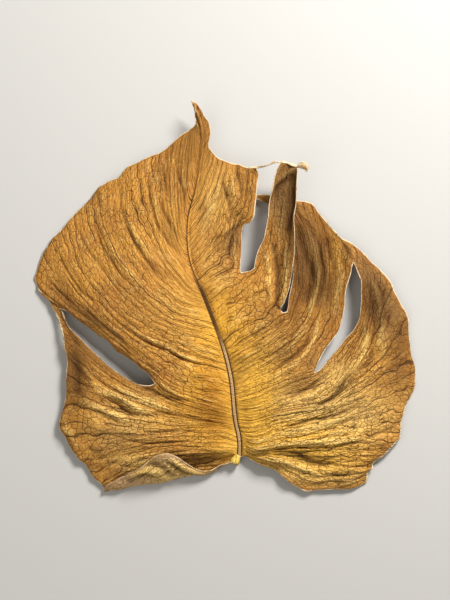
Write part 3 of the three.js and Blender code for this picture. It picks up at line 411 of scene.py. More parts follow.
# Folds seen in the dried blade: height in millimetres (below zero for a valley), half width, and points
# from above. The last value limits a fold to some rows, where one part of the leaf lies over another.
Fold = namedtuple("Fold", "height half_width points rows", defaults=((0, LAST_ROW),))
FLAP = (-1, -0.2)
FINGER = (8, 10)
FOLDS = (
    # Lower right: a fan of ridges and valleys from the base.
    Fold(-1.7, 1.4, ((54, -65), (63, -60), (68, -55.5), (71, -50), (75, -44))),
    Fold(1.4, 2.2, ((70, -50), (75, -44), (80, -37), (83, -29), (84.5, -20), (84, -12))),
    Fold(-1.5, 1.8, ((80, -44), (85, -38), (88, -30), (89, -20), (89, -10), (87, 2))),
    Fold(1, 2.5, ((92, -35), (94, -25), (93, -15))),
    Fold(-1, 1.1, ((85, -40.5), (92, -39), (98, -36), (104, -31))),
    Fold(-1.1, 1, ((71, -41), (72.5, -35), (75, -30), (78, -26))),
    Fold(1.5, 2.4, ((16, -92), (28, -88.3), (42, -86.5), (58, -86), (74, -84), (84, -80))),
    Fold(-1.5, 1.1, ((33, -90), (46, -89), (62, -88.6), (75, -86.8), (87, -83.5), (97, -79), (104, -76))),
    Fold(-1.3, 2, ((26, -91.5), (36, -91.5), (44, -94.5), (50, -98.5), (58, -100.5), (70, -101))),
    Fold(1.4, 2, ((20, -95), (32, -96.5), (42, -100.5), (52, -104), (64, -105))),
    Fold(-1, 1, ((54, -103.5), (62, -105.5), (72, -107.5))),
    Fold(1, 1.8, ((68, -111), (76, -109), (83, -105))),
    Fold(-1, 1.3, ((45, -110), (52, -112.5), (62, -112), (70, -111))),
    Fold(-1.3, 1, ((48, -81.5), (58, -79.2), (67, -76.5), (76, -73), (86, -71.5))),
    Fold(-1.2, 1, ((34, -77), (46, -74.5), (58, -72), (68, -69.5), (78, -65))),
    Fold(-1, 0.9, ((60, -85), (70, -82.8), (80, -81.5), (90, -80))),
    Fold(1, 1.5, ((30, -79), (48, -77.5), (62, -75), (74, -70.5))),
    Fold(1.2, 1.6, ((25, -71), (40, -68), (52, -65.5), (64, -64.5), (76, -60))),
    Fold(-1.2, 1, ((26, -65.5), (36, -61.5), (44, -57.5), (52, -52), (58, -46.5))),
    Fold(-1, 0.9, ((24, -58), (34, -54), (44, -49.5), (52, -46))),
    Fold(-1.2, 1, ((45, -65), (54, -60), (60, -54), (63, -48))),
    Fold(1, 1.3, ((38, -62.5), (50, -59), (57, -54), (61, -49))),
    # Right of the midrib, between the two slits.
    Fold(-1.5, 1.1, ((22, -47), (32, -41.5), (40, -36), (46, -30), (50, -22), (52, -12))),
    Fold(1.3, 1.6, ((30, -46), (42, -39), (50, -30), (54, -20), (55, -8))),
    Fold(-1.2, 1, ((18, -38), (27, -35), (34, -30.5), (40, -24))),
    Fold(-1, 0.9, ((14, -33), (22, -26), (30, -20), (34, -12))),
    Fold(1, 1.4, ((20, -40), (30, -36), (38, -31), (45, -22))),
    Fold(-2.2, 2, ((43.5, 40), (44.6, 34.2), (47.1, 25.6), (50.6, 18), (51.8, 8.4), (47, -4))),
    Fold(-2, 1, ((42.4, 49.6), (48.9, 42.8), (56.6, 30.8), (57.4, 24), (58.8, 17), (57.4, 5), (54.4, -8.6),
                 (52.2, -17.2))),
    Fold(1.8, 1.4, ((53, 36), (54.6, 27), (54.2, 18), (54.8, 10.2), (52.3, 0), (49.7, -12))),
    Fold(1, 1.8, ((66, -10), (66.5, 0), (69, 10), (68, 22))),
    Fold(-1.4, 1.1, ((60, 36), (62, 28), (64.6, 17), (63.8, 10.2), (61.7, 0), (60.5, -8))),
    Fold(-1.5, 0.8, ((69.5, 34.5), (72, 30), (74, 26), (76.2, 21.5))),
    Fold(-1.1, 0.9, ((57.5, 30.5), (62, 33.5), (67, 36))),
    Fold(1.8, 1.2, ((84, 10.2), (88.2, 6.8), (90.8, 0), (90.9, -8.6), (92.8, -18), (90, -28))),
    Fold(-1.8, 1.3, ((82.5, 7), (86.4, 3.4), (87.4, -5.2), (84.8, -14.6), (86, -22))),
    Fold(-1.5, 1.1, ((89, 11), (93.8, 3.4), (94.6, -7), (97, -16))),
    # The finger.
    Fold(2, 1.5, ((42, 76), (38, 73.5), (34, 71), (29.5, 67)), FINGER),
    Fold(-2, 1.5, ((41, 71.5), (37, 69), (33, 66), (30, 60)), FINGER),
    Fold(-1.5, 1.6, ((40.5, 70), (39.5, 60), (38.5, 50), (37, 42), (35, 36)), FINGER),
    Fold(1.2, 1.2, ((34.5, 66), (34, 56), (33, 46), (31.5, 38)), FINGER),
    Fold(-1.9, 1.6, ((27, 36), (29, 28), (30.5, 18), (31, 8), (30.5, -2), (29, -12)), FINGER),
    Fold(1.5, 1.8, ((36.5, 36), (36.5, 26), (36, 14), (34.5, 3), (32, -6)), FINGER),
    Fold(-1.2, 0.9, ((33, 40), (33, 30), (32.5, 22)), FINGER),
    Fold(1.1, 1.6, ((24.5, 34), (24, 26), (25.5, 16), (26, 6)), FINGER),
    Fold(-1, 0.9, ((22, 26), (23.5, 18), (27, 10)), FINGER),
    # Beside the big slit, drawn together at its notch.
    Fold(-1.3, 0.9, ((9.5, 43.3), (4, 40), (0, 34), (-4, 27))),
    Fold(-1.2, 0.9, ((8.5, 42), (5, 36), (2.5, 29), (2, 21))),
    Fold(-1.2, 0.9, ((-8, 25), (-6, 32), (-2, 37.5))),
    Fold(1.3, 1, ((11, 45), (7, 44), (3, 41.5), (-1, 37))),
    Fold(1, 0.9, ((8, 39), (6, 33), (5.5, 25), (5.5, 18))),
    Fold(-1.2, 1, ((-2, 68), (1, 58), (3, 50))),
    Fold(-1.2, 1, ((6.5, 78), (8, 69), (10, 60))),
    Fold(-1, 0.9, ((12, 76), (13, 68), (12.5, 59))),
    Fold(0.6, 1.4, ((4, 74), (5, 64), (6, 55))),
    Fold(0.6, 2.2, ((-12, 40), (-8, 52), (-5, 62), (-4, 72))),
    Fold(-1, 0.9, ((-16, 50), (-13, 57), (-11, 64))),
    # Left half, lower part.
    Fold(-1.2, 0.9, ((0, -44), (-12, -41), (-24, -37.5), (-34, -32), (-44, -28), (-54, -23), (-62, -17))),
    Fold(1.2, 1.1, ((-16, -37.5), (-26, -34.5), (-34, -29.3), (-44, -25), (-54, -19.5))),
    Fold(-1.2, 0.9, ((5, -79), (-4, -75.5), (-16, -72.8), (-30, -70), (-44, -66.5), (-57, -61), (-68, -54),
                     (-80, -46))),
    Fold(1.2, 1.5, ((-30, -67.5), (-44, -63.5), (-56, -58), (-66, -52))),
    Fold(-1.6, 1.3, ((-20, -62), (-30, -61), (-38, -58.5), (-45, -55), (-52, -54))),
    Fold(-1.2, 1.6, ((-84, -60), (-74, -60.5), (-66, -61.5), (-60, -66.5), (-53, -71),
                     (-43, -71), (-34, -70))),
    Fold(1.2, 2, ((-74, -54), (-66, -57.5), (-58, -62.5), (-50, -67), (-40, -67.5))),
    Fold(1.6, 1.8, ((-80, -64.5), (-71, -67.5), (-64, -71), (-56, -75))),
    Fold(-1.6, 3, ((-91, -28), (-89, -42), (-89, -55), (-90, -64))),
    Fold(1, 1.5, ((-84, -40), (-80, -49), (-73, -55))),
    Fold(-1.1, 0.9, ((-52, -80), (-40, -80.3), (-28, -79.8), (-16, -79.5))),
    Fold(-1.1, 0.9, ((-60, -84.5), (-48, -87), (-38, -87.3), (-26, -86))),
    Fold(-1.1, 0.9, ((-80, -92), (-72, -97.5), (-62, -100.5), (-52, -101.5))),
    Fold(-1, 0.9, ((-86, -84), (-80, -90), (-72, -95))),
    Fold(1.2, 1.8, ((-96, -76), (-91, -84), (-86, -92))),
    # Left half, upper part.
    Fold(-1.5, 1, ((-45.5, 70), (-44.5, 58), (-42, 48), (-39, 40), (-34, 33), (-28, 26))),
    Fold(-1.3, 0.9, ((-40, 64), (-37.5, 54), (-33, 44), (-29, 36))),
    Fold(-1.2, 0.9, ((-38, 82), (-36.5, 72), (-35, 62))),
    Fold(-1.2, 0.9, ((-63, 64), (-61.5, 52), (-57.5, 40), (-51, 28), (-42, 16), (-34, 8))),
    Fold(-1, 0.9, ((-51, 72), (-50, 60), (-47, 50))),
    Fold(-1, 0.9, ((-77, 40), (-73, 30), (-66, 18), (-56, 7))),
    Fold(-1, 0.9, ((-90, 44), (-84, 32), (-76, 20), (-66, 8))),
    Fold(-1, 0.9, ((-101, 30), (-96, 18), (-86, 4), (-74, -6))),
    Fold(-1, 0.9, ((-106, 10), (-98, 2), (-88, -6))),
    Fold(-1.1, 0.9, ((-30, 84), (-28, 72), (-25, 62), (-24, 52))),
    Fold(0.5, 1.2, ((-42, 66), (-40.5, 56), (-38, 47), (-33, 39))),
    Fold(0.6, 1.2, ((-60, 56), (-55, 42), (-47, 28), (-38, 18))),
    Fold(0.9, 1.3, ((-72, 42), (-66, 28), (-56, 14), (-46, 4))),
    # The basal lobe that lies folded back.
    Fold(1.8, 1, ((-38.4, -94), (-30, -97.2), (-24, -102), (-13.2, -105.6)), FLAP),
    Fold(-2.5, 0.9, ((-37, -95.5), (-31.2, -99.6), (-25.2, -104.6), (-19, -107)), FLAP),
    Fold(2.2, 0.9, ((-36, -97.5), (-31.8, -102), (-26.5, -107)), FLAP),
    Fold(-2.5, 0.9, ((-37.2, -99.6), (-33.6, -104.4), (-29.5, -108)), FLAP),
    Fold(2.7, 1.1, ((-56, -107), (-49.2, -103.2), (-43.8, -103.4), (-38.4, -106.6), (-34, -109)), FLAP),
    Fold(-2.4, 1, ((-57, -109.5), (-49.2, -106.2), (-42, -107.8), (-36, -110)), FLAP),
    Fold(-1.8, 2, ((-48, -100.5), (-42, -99.6), (-38, -100)), FLAP),
)

# Where the blade is creased the most, given as the stains are.
CREASED = (
    (64, -89, 44, 25, 0, 1), (54, -58, 28, 12, 25, 0.8), (-58, -62, 40, 26, 0, 0.75),
    (24, -32, 24, 18, 35, 0.6), (2, 34, 10, 20, 0, 0.6), (-30, -18, 36, 20, -30, 0.35),
    (-14, -104, 40, 12, 0, 0.6), (78, -30, 14, 24, 0, 0.5), (-34, 62, 18, 32, 10, 0.35),
    (90, -4, 10, 26, 20, 0.6), (50, 26, 10, 26, 0, 0.5), (34, 50, 8, 30, 0, 0.4),
    (22, -6, 20, 12, 35, 0.5),
)

# Where age has changed the blade, and where painted light and painted shade brighten or darken it:
# centre and half sizes in millimetres, turn in degrees, strength.
STAINS = {
    # Paler skin in part, and in part painted light, brightening the lower right and the folded flap.
    "paled": (
        (56, -76, 46, 22, 12, 1), (44, -76, 26, 12, 10, 0.8), (46, -101, 34, 10, -10, 0.9),
        (24, -60, 16, 26, 20, 0.7), (-36, -8, 30, 14, -35, 0.15), (-4, 58, 14, 26, 0, 0.35),
        (-56, -72, 32, 18, 10, 0.45), (66, -46, 14, 10, 50, 0.6), (-8, 18, 8, 20, 20, 0.3),
        (28, -24, 14, 18, 30, 0.3), (-38, -104, 30, 8, -12, 1), (-43, -112.4, 34, 1.8, 10.7, 1),
        (12, -90, 16, 6, 0, 0.6),
    ),
    "yellowed": (
        (18, -66, 14, 34, -8, 1), (2, -20, 16, 30, 20, 0.6), (38, -86, 42, 14, 0, 0.9),
        (-8, -62, 13, 32, 8, 1), (-26, -66, 20, 14, 0, 0.4), (60, -100, 26, 10, 0, 0.5),
        (-18, -14, 14, 22, 25, 0.3), (66, 24, 6, 14, 0, 0.4),
    ),
    "ambered": (
        (-8, -62, 11, 30, 6, 0.9), (-26, -66, 16, 10, 0, 0.3), (62, 30, 8, 12, 0, 0.5),
        (45, 43, 6, 7, 0, 0.9), (52, 49, 9, 8, 0, 0.6), (20, 61, 5, 3, 0, 0.6),
    ),
    # Brown skin in part, and in part painted shade: above and beside the folded flap, along the curled upper
    # edge of the left slit, down the finger's right half and low on the left margin.
    "browned": (
        (48, 22, 7, 20, -4, 0.9), (47, 34, 7, 24, 0, 0.4), (62, 2, 6, 22, 0, 0.45),
        (39, 52, 3.5, 26, -3, 0.95), (31, 22, 3, 20, 0, 0.5), (-88, -45, 9, 26, 0, 0.8),
        (33, 64, 6, 16, -3, 0.55), (50, 26, 9, 15, 0, 0.75), (86, -8, 8, 18, 20, 0.35),
        (26, -10, 16, 14, 0, 0.2), (98, -44, 14, 24, 0, 0.22), (-70, -61, 14, 4, 5, 0.5),
        (-66, -103, 18, 5, -15, 0.5), (-42, -99.5, 7, 3, 0, 0.45), (-14, -97, 12, 4, -8, 0.8),
        (-39, 76, 3.5, 9, 8, 0.5), (-32, 38, 4, 12, 30, 0.5), (-78, -13, 26, 3, -35, 0.8),
        (92, -8, 4, 9, 0, 0.5), (88, -71, 9, 4, 10, 0.4), (58, 12, 1.6, 16, 0, 0.6),
        (98, -44, 12, 10, 0, 0.15), (46, -95, 14, 3, -18, 0.5), (42, -53, 14, 4, 28, 0.5),
        (34, -33, 14, 5, 32, 0.45), (12, 68, 3.5, 12, 0, 0.4), (84, 6, 4, 20, 0, 0.4),
        (-15, 2, 6, 10, 25, 0.35), (93, -4, 15, 32, 20, 0.65), (46, 30, 4, 11, -12, 0.8),
        (50, 14, 3, 12, -5, 0.7), (-8, -64, 10, 24, 6, 0.2), (72, 29, 6, 2.5, -60, 0.7),
        (46, 29, 4, 9, -12, 0.5), (55, 14, 14, 28, 0, 0.65), (106, -34, 10, 40, 0, 0.5),
        (-20, 92, 16, 22, 10, 0.45), (-95, -38, 7, 26, 0, 0.5), (70, 6, 5, 24, 0, 0.3),
        (-50, 46, 26, 12, 40, 0.3), (38, 40, 4, 40, -4, 0.4), (-58, 10, 30, 14, -50, 0.2),
        (52, 46, 8, 12, 0, 0.35), (42, 8, 4, 34, 0, 0.45), (-100, 4, 8, 14, 0, 0.3),
        (-30, -6, 22, 12, -30, 0.2), (-72, -40, 12, 10, 0, 0.25),
    ),
    "greyed": (
        (34, 60, 11, 26, -5, 1), (96, -4, 10, 26, 25, 0.6), (58, 12, 12, 26, 0, 0.3),
        (4, 33, 6, 11, -20, 0.75), (86, 10, 8, 24, 28, 0.6), (51, -37, 4, 12, -35, 0.5),
        (-14, 104, 6, 16, 10, 0.4), (3, 62, 14, 18, 0, 0.3), (-66, -83, 20, 9, -8, 0.5),
        (80, -64, 22, 12, 20, 0.4), (-12, 48, 6, 12, 0, 0.4), (-20, -99, 8, 4, -10, 0.3),
    ),
    "corky": (
        (98, -94, 14, 10, 40, 1), (-99, -20, 4, 20, 0, 1), (56, -115.5, 22, 3, 0, 0.7),
        (-74, -115, 7, 4, -15, 1), (-113, 7, 4, 6, 0, 0.6), (86, -107, 3, 5, 0, 1),
        (2, -98, 8, 4, 0, 0.8), (15, 76.5, 8, 3, 0, 0.5), (18, 50, 3, 12, 0, 0.5),
    ),
}


def linear(hex_colour):
    """An sRGB hex colour as linear red, green, blue and a full alpha."""
    values = [int(hex_colour[k:k + 2], 16) / 255 for k in (0, 2, 4)]
    return (*(v / 12.92 if v <= 0.04045 else ((v + 0.055) / 1.055) ** 2.4 for v in values), 1.0)


def colour_property(name, description, hex_colour):
    return FloatVectorProperty(
        name=name, description=description, subtype="COLOR", size=4, min=0, max=1,
        default=linear(hex_colour),
    )


def length_property(name, description, millimetres):
    return FloatProperty(
        name=name, description=description, unit="LENGTH", min=0, precision=5, default=millimetres * MM
    )


class LeafSizes(bpy.types.PropertyGroup):
    sheet: length_property("Sheet", "Thickness of the dry blade", 0.36)
    rib_at_base: length_property("Rib at base", "How far the midrib stands out under the base", 2.0)
    rib_at_tip: length_property("Rib at tip", "How far the midrib stands out under the tip", 0.35)
    rib_half_width: length_property("Rib half width", "Half the width of the midrib at the base", 1.9)
    vein_pitch: length_property("Vein pitch", "Spacing of the side veins across the blade", 4.6)
    quilting: length_property("Quilting", "Height of the blade between two side veins", 0.3)
    wrinkle: length_property("Wrinkle", "Height of the blade between two drying creases", 2.0)
    ridge: length_property("Ridge", "Height of the broad ridges that fan out from the base", 1.3)
    dent: length_property("Dent", "Height of the dents of a centimetre or so", 0.9)
    ruffle: length_property("Ruffle", "Height of the waves along the margin", 0.9)
    cell: length_property("Cell", "Size of the cells in the mesh of small veins", 2.6)
    rim: length_property("Rim", "Width of the pale corky edge of the blade", 0.4)
    thread: length_property("Thread", "Radius of the strip of margin across the big slit", 0.4)
    stub: length_property("Stub", "Radius of the broken leafstalk", 2.7)


class LeafColours(bpy.types.PropertyGroup):
    golden: colour_property("Golden", "Most of the upper face", "C98F3A")
    # Pale gold is also painted light: the highlight on the ridges, and the brightened spots.
    pale: colour_property("Pale gold", "Ridges and bulges of the blade", "F6CC74")
    yellow: colour_property("Yellow", "Beside the lower midrib", "F6B838")
    amber: colour_property("Amber", "Where the blade dried deep gold", "A4660E")
    # Dark is also painted shade: in the valleys of the relief, and in the darkened spots.
    ochre: colour_property("Ochre", "Browned patches of the blade", "A0672A")
    dark: colour_property("Dark", "Deeply browned parts", "4E3310")
    grey: colour_property("Grey tan", "Weathered parts of the finger and margins", "806236")
    # The vein colour also paints shade: in the creases, and in the grooves beside the lower midrib.
    vein: colour_property("Vein", "Side veins and creases", "40240C")
    web: colour_property("Web", "The mesh of small veins", "643614")
    crest: colour_property("Crest", "The raised line of the lower midrib", "C7A06A")
    rim: colour_property("Rim", "The corky edge", "DCCBA6")
    underside: colour_property("Underside", "The duller lower face", "EED2A6")
    stalk: colour_property("Stalk", "The leafstalk's stub", "E0BC55")
    frayed: colour_property("Frayed", "Broken fibres of the stub", "8A7330")


def catmull(p0, p1, p2, p3, share):
    """Points at `share` of the way from p1 to p2 on a centripetal curve through all four."""
    def gap(a, b):
        return np.sqrt(np.linalg.norm(b - a, axis=-1, keepdims=True))

    mid = gap(p1, p2)
    mid = np.where(mid < NO_LENGTH, 1, mid)
    low, high = gap(p0, p1), gap(p2, p3)
    low = np.where(low < NO_LENGTH, mid, low)
    high = np.where(high < NO_LENGTH, mid, high)
    start = ((p1 - p0) / low - (p2 - p0) / (low + mid) + (p2 - p1) / mid) * mid
    end = ((p2 - p1) / mid - (p3 - p1) / (mid + high) + (p3 - p2) / high) * mid
    square = -3 * p1 + 3 * p2 - 2 * start - end
    cube = 2 * p1 - 2 * p2 + start + end
    return p1 + share * (start + share * (square + share * cube))


def smooth_line(points, steps=VEIN_STEPS):
    """A centripetal Catmull-Rom curve through the points, with `steps` samples to each span."""
    points = np.array(points, float)
    padded = np.vstack((2 * points[0] - points[1], points, 2 * points[-1] - points[-2]))
    shares = (np.arange(steps) / steps)[:, None]
    spans = [catmull(*padded[k:k + 4], shares) for k in range(len(points) - 1)]
    return np.vstack((*spans, points[-1:]))


def step_lengths(line):
    return np.linalg.norm(np.diff(line, axis=0), axis=1)


def running_total(steps):
    """How far each point has come, from 0 at the first."""
    return np.concatenate(([0], np.cumsum(steps)))


def length_shares(line):
    """How far along its length each sample of a line lies, from 0 to 1."""
    steps = step_lengths(line)
    return running_total(steps) / steps.sum()


def read_table(table, at):
    """A table of places, read at any values between its own."""
    values, places = table
    return np.stack([np.interp(at, values, places[:, k]) for k in range(3)], axis=-1)


MIDRIB_LINE = smooth_line(MIDRIB, MIDRIB_STEPS)
MIDRIB_TABLE = (np.linspace(0, LAST_ROW, len(MIDRIB_LINE)), MIDRIB_LINE)


def vein_table(vein):
    """A vein's places by share of the way out. The two edges of a slit have their root in common."""
    start = vein.start or tuple(read_table(MIDRIB_TABLE, vein.row))
    whole = [start, *vein.root, *vein.outer, *vein.rim]
    stops = [0, len(vein.root), len(vein.root) + len(vein.outer)]
    ends = [SPLIT, 1]
    if vein.rim:
        stops.append(len(whole) - 1)
        ends[1:] = [RIM, 1]
    full = smooth_line(whole)
    values, places, low = [], [], 0
    for first, last, high in zip(stops, stops[1:], ends):
        if vein.slit:
            line = smooth_line(whole[first:last + 1])
        else:
            line = full[first * VEIN_STEPS:last * VEIN_STEPS + 1]
        values.append(low + (high - low) * length_shares(line))
        places.append(line)
        low = high
    return np.concatenate(values), np.vstack(places)


def margin_table(vein, start, end):
    """The leaf's edge from one vein's end to the next one's."""
    points = np.array([start, *((x, y, 0) for x, y in vein.margin), end])
    points[:, 2] = np.linspace(start[2], end[2], len(points))
    line = smooth_line(points)
    return length_shares(line), line


def smoothstep(low, high, values):
    share = np.clip((values - low) / (high - low), 0, 1)
    return share * share * (3 - 2 * share)


def hump(values, middle, half_width):
    """1 where the values are at the middle, and falling smoothly to 0 on both sides."""
    return np.exp(-(((values - middle) / half_width) ** 2))


def at_least(least, share):
    """A share from 0 to 1, raised so that it starts from the least."""
    return least + (1 - least) * share


def openness(slit, u):
    """0 where a slit is closed at this share of the vein, and 1 where it is open."""
    opened = smoothstep(SPLIT, SPLIT + SLIT_OPENS_OVER, u)
    return opened * (1 - smoothstep(RIM - SLIT_CLOSES_OVER, RIM, u)) if slit == "closed" else opened


def pull(share):
    """How strongly a point is drawn to the midrib or the margin."""
    return np.clip(share, 0, 1)[..., None] ** 2


class Side:
    """One half of the blade, read by row and by share of the way from the midrib to the margin."""

    def __init__(self, veins):
        self.veins = veins
        self.tables = [vein_table(vein) for vein in veins]
        ends = [table[1][-1] for table in self.tables]
        self.margins = {i: margin_table(veins[i], ends[i], ends[i + 1]) for i, low, high in self.gaps()}
        self.spread = self.spread_table()

    def neighbour(self, i, step, u):
        """The vein past vein i, or where it would be past the last one and across an open slit."""
        here = read_table(self.tables[i], u)
        past = 2 * here - read_table(self.tables[i - step], u)
        if not 0 <= i + step < len(self.veins):
            return past
        following = self.veins[i + step]
        if following.row != self.veins[i].row:
            return read_table(self.tables[i + step], u)
        across = read_table(self.tables[i + 2 * step], u)
        return across + (past - across) * openness(following.slit, u)[..., None]

    def points(self, i, rows, u):
        """Places in the gap after vein i: one row of the answer for each row, one column for each u."""
        low, high = self.veins[i].row, self.veins[i + 1].row
        share = (rows - low) / (high - low)

        def raw(v):
            return catmull(
                self.neighbour(i, -1, v), read_table(self.tables[i], v), read_table(self.tables[i + 1], v),
                self.neighbour(i + 1, 1, v), share[:, None, None],
            )

        found = raw(u)
        if low >= 0:
            to_midrib = read_table(MIDRIB_TABLE, rows)[:, None] - raw(np.zeros_like(u[:, :1]))
            found = found + pull(1 - u / SPLIT) * to_midrib
        to_margin = read_table(self.margins[i], share)[:, None] - raw(np.ones_like(u[:, :1]))
        return found + pull((u - MARGIN_PULL_FROM) / (1 - MARGIN_PULL_FROM)) * to_margin

    def gaps(self):
        """Each gap between two veins, with its first and last row. A slit's two edges have none."""
        for i, (vein, following) in enumerate(zip(self.veins, self.veins[1:])):
            if vein.row != following.row:
                yield i, vein.row, following.row

    def spread_table(self):
        """Distance across the veins, counted from the first row."""
        rows, spread = [], []
        total = 0
        for i, low, high in self.gaps():
            here = np.linspace(low, high, SPREAD_ROWS)
            line = self.points(i, here, np.full((SPREAD_ROWS, 1), SPREAD_AT))[:, 0]
            rows.extend(here)
            spread.extend(total + running_total(step_lengths(line)))
            total = spread[-1]
        return np.array(rows), np.array(spread)

    def across(self, rows):
        return np.interp(rows, *self.spread)


LEFT = Side(LEFT_VEINS)
RIGHT = Side(RIGHT_VEINS)


def row_grid():
    """The rows of the net, even in the wider of the two halves, with every slit's row among them."""
    fine = np.linspace(0, LAST_ROW, FINE_ROWS)
    travelled = running_total(np.maximum(np.diff(LEFT.across(fine)), np.diff(RIGHT.across(fine))))
    stops = sorted({0, LAST_ROW, *(v.row for v in LEFT_VEINS + RIGHT_VEINS if v.slit)})
    grid = [np.linspace(-1, 0, FLAP_ROWS)[:-1]]
    for low, high in zip(stops, stops[1:]):
        a, b = np.interp((low, high), fine, travelled)
        count = math.ceil((b - a) / ROW_SPACING)
        grid.append(np.interp(np.linspace(a, b, count + 1)[:-1], travelled, fine))
    return np.concatenate((*grid, [LAST_ROW]))


def columns(side, i, rows):
    """For each row, the shares of the way out at which the net has its points."""
    ends = side.points(i, rows, np.tile((0, SPLIT), (len(rows), 1)))
    root_length = np.linalg.norm(ends[:, 1] - ends[:, 0], axis=1)[:, None]
    near = np.array(RIB_COLUMNS)[None]
    near = SPLIT * np.minimum(near / root_length, RIB_COLUMNS_SHARE * near / near.max())
    last = near[:, -1:]
    root = last + (SPLIT - last) * (np.arange(1, ROOT_COLUMNS + 1) / ROOT_COLUMNS)[None]
    past_split = SPLIT + np.array(SLIT_COLUMNS)
    outer = np.linspace(SPLIT_ROUNDED, RIM, OUTER_COLUMNS)
    rim = RIM + (1 - RIM) * np.arange(1, RIM_COLUMNS + 1) / RIM_COLUMNS
    fixed = np.tile(np.concatenate((past_split, outer, rim)), (len(rows), 1))
    return np.hstack((near, root, fixed))


def distance_to(line, points):
    """Distance from each point to the nearest sample of a line."""
    tree = kdtree.KDTree(len(line))
    for k, place in enumerate(line):
        tree.insert(place, k)
    tree.balance()
    return np.array([tree.find(place)[2] for place in points])


def fractal(points, key):
    """One of the blade's noises, of about -1 to 1, at each point."""
    size, stretch, seed = NOISES[key]
    places = points / (size * np.array((stretch, 1, 1))) + SEEDS_APART * seed
    total = np.zeros(len(places))
    for octave in range(OCTAVES):
        total += [noise.noise(Vector(p)) * 0.5 ** octave for p in places * 2 ** octave]
    return total


def read_all(items, key, kind=float, width=1):
    """One number, or `width` of them, from each of a mesh's items."""
    values = np.empty(width * len(items), kind)
    items.foreach_get(key, values)
    return values.reshape(-1, width) if width > 1 else values


def read_values(mesh, key):
    return read_all(mesh.attributes[key].data, "value")


def write_values(mesh, key, values):
    mesh.attributes.new(key, "FLOAT", "POINT").data.foreach_set("value", values)


def read_places(mesh):
    return read_all(mesh.vertices, "co", width=3)


def write_places(mesh, millimetres):
    mesh.vertices.foreach_set("co", (millimetres * MM).ravel())


def deselect_all():
    bpy.ops.object.select_all(action="DESELECT")


def select(*things):
    """Selects these objects alone and makes the first of them active."""
    deselect_all()
    for thing in things:
        thing.select_set(True)
    bpy.context.view_layer.objects.active = things[0]


def edit_whole(operator, **settings):
    """Runs one operator in edit mode on all of the active object's mesh."""
    bpy.ops.object.mode_set(mode="EDIT")
    bpy.ops.mesh.select_all(action="SELECT")
    operator(**settings)
    bpy.ops.object.mode_set(mode="OBJECT")


def aim(thing, direction, axis):
    """Turns an object so that this axis of its own points that way."""
    thing.rotation_mode = "QUATERNION"
    thing.rotation_quaternion = direction.to_track_quat(axis, "Y")


def add_band(side, first, last):
    """A grid primitive, moved point by point onto the rows from one vein to another."""
    grid = row_grid()
    places, shares, rows = [], [], []
    for i, low, high in side.gaps():
        if not (first <= i < last):
            continue
        here = grid[(grid > low if places else grid >= low) & (grid <= high)]
        u = columns(side, i, here)
        places.append(side.points(i, here, u))
        shares.append(u)
        rows.append(here)
    places, shares, rows = np.vstack(places), np.vstack(shares), np.concatenate(rows)
    count_rows, count_columns = shares.shape

    bpy.ops.mesh.primitive_grid_add(x_subdivisions=count_columns - 1, y_subdivisions=count_rows - 1, size=1)
    band = bpy.context.object
    mesh = band.data
    write_places(mesh, places)
    # The left half's columns run the other way, which turns its faces over.
    if side is LEFT:
        edit_whole(bpy.ops.mesh.flip_normals)

    lengths = np.linalg.norm(np.diff(places, axis=1), axis=2)
    along = np.hstack((np.zeros((count_rows, 1)), np.cumsum(lengths, axis=1)))
    across = np.repeat(side.across(rows)[:, None], count_columns, axis=1)
    corners = read_all(mesh.loops, "vertex_index", int)
    uv = np.stack((along.ravel(), across.ravel()), axis=1)[corners]
    mesh.uv_layers.active.name = "veins"
    mesh.uv_layers["veins"].data.foreach_set("uv", uv.ravel())
    facts = {
        "along": along,
        "across": across,
        "row": np.repeat(rows[:, None], count_columns, axis=1),
        "right": np.full_like(along, side is RIGHT),
    }
    for key, values in facts.items():
        write_values(mesh, key, values.ravel())
    return band


def join_bands(bands):
    select(*bands)
    bpy.ops.object.join()
    edit_whole(bpy.ops.mesh.remove_doubles, threshold=WELD)
    return bpy.context.object


def boundary_line(mesh):
    """Points along every open edge of the sheet."""
    pairs = read_all(mesh.edges, "vertices", int, 2)
    uses = np.zeros(len(pairs), int)
    np.add.at(uses, read_all(mesh.loops, "edge_index", int), 1)
    ends = read_places(mesh)[pairs[uses == 1]]
    return np.vstack((ends[:, 0], 0.5 * (ends[:, 0] + ends[:, 1])))


def fold_heights(places, rows):
    """Height of the folds at each point, found from above. A fold is lower towards its two ends."""
    total = np.zeros(len(places))
    flat = places[:, :2]
    for fold in FOLDS:
        line = smooth_line(fold.points, FOLD_STEPS)
        reach = FOLD_REACH * fold.half_width
        inside = ((flat > line.min(0) - reach) & (flat < line.max(0) + reach)).all(1)
        near = np.flatnonzero(inside & (rows >= fold.rows[0]) & (rows <= fold.rows[1]))
        gaps = np.linalg.norm(flat[near, None] - line[None], axis=2)
        share = length_shares(line)[gaps.argmin(1)]
        taper = np.sqrt(np.sin(math.pi * (FOLD_END + (1 - 2 * FOLD_END) * share)))
        total[near] += fold.height * taper * hump(gaps.min(1), 0, fold.half_width)
    return total


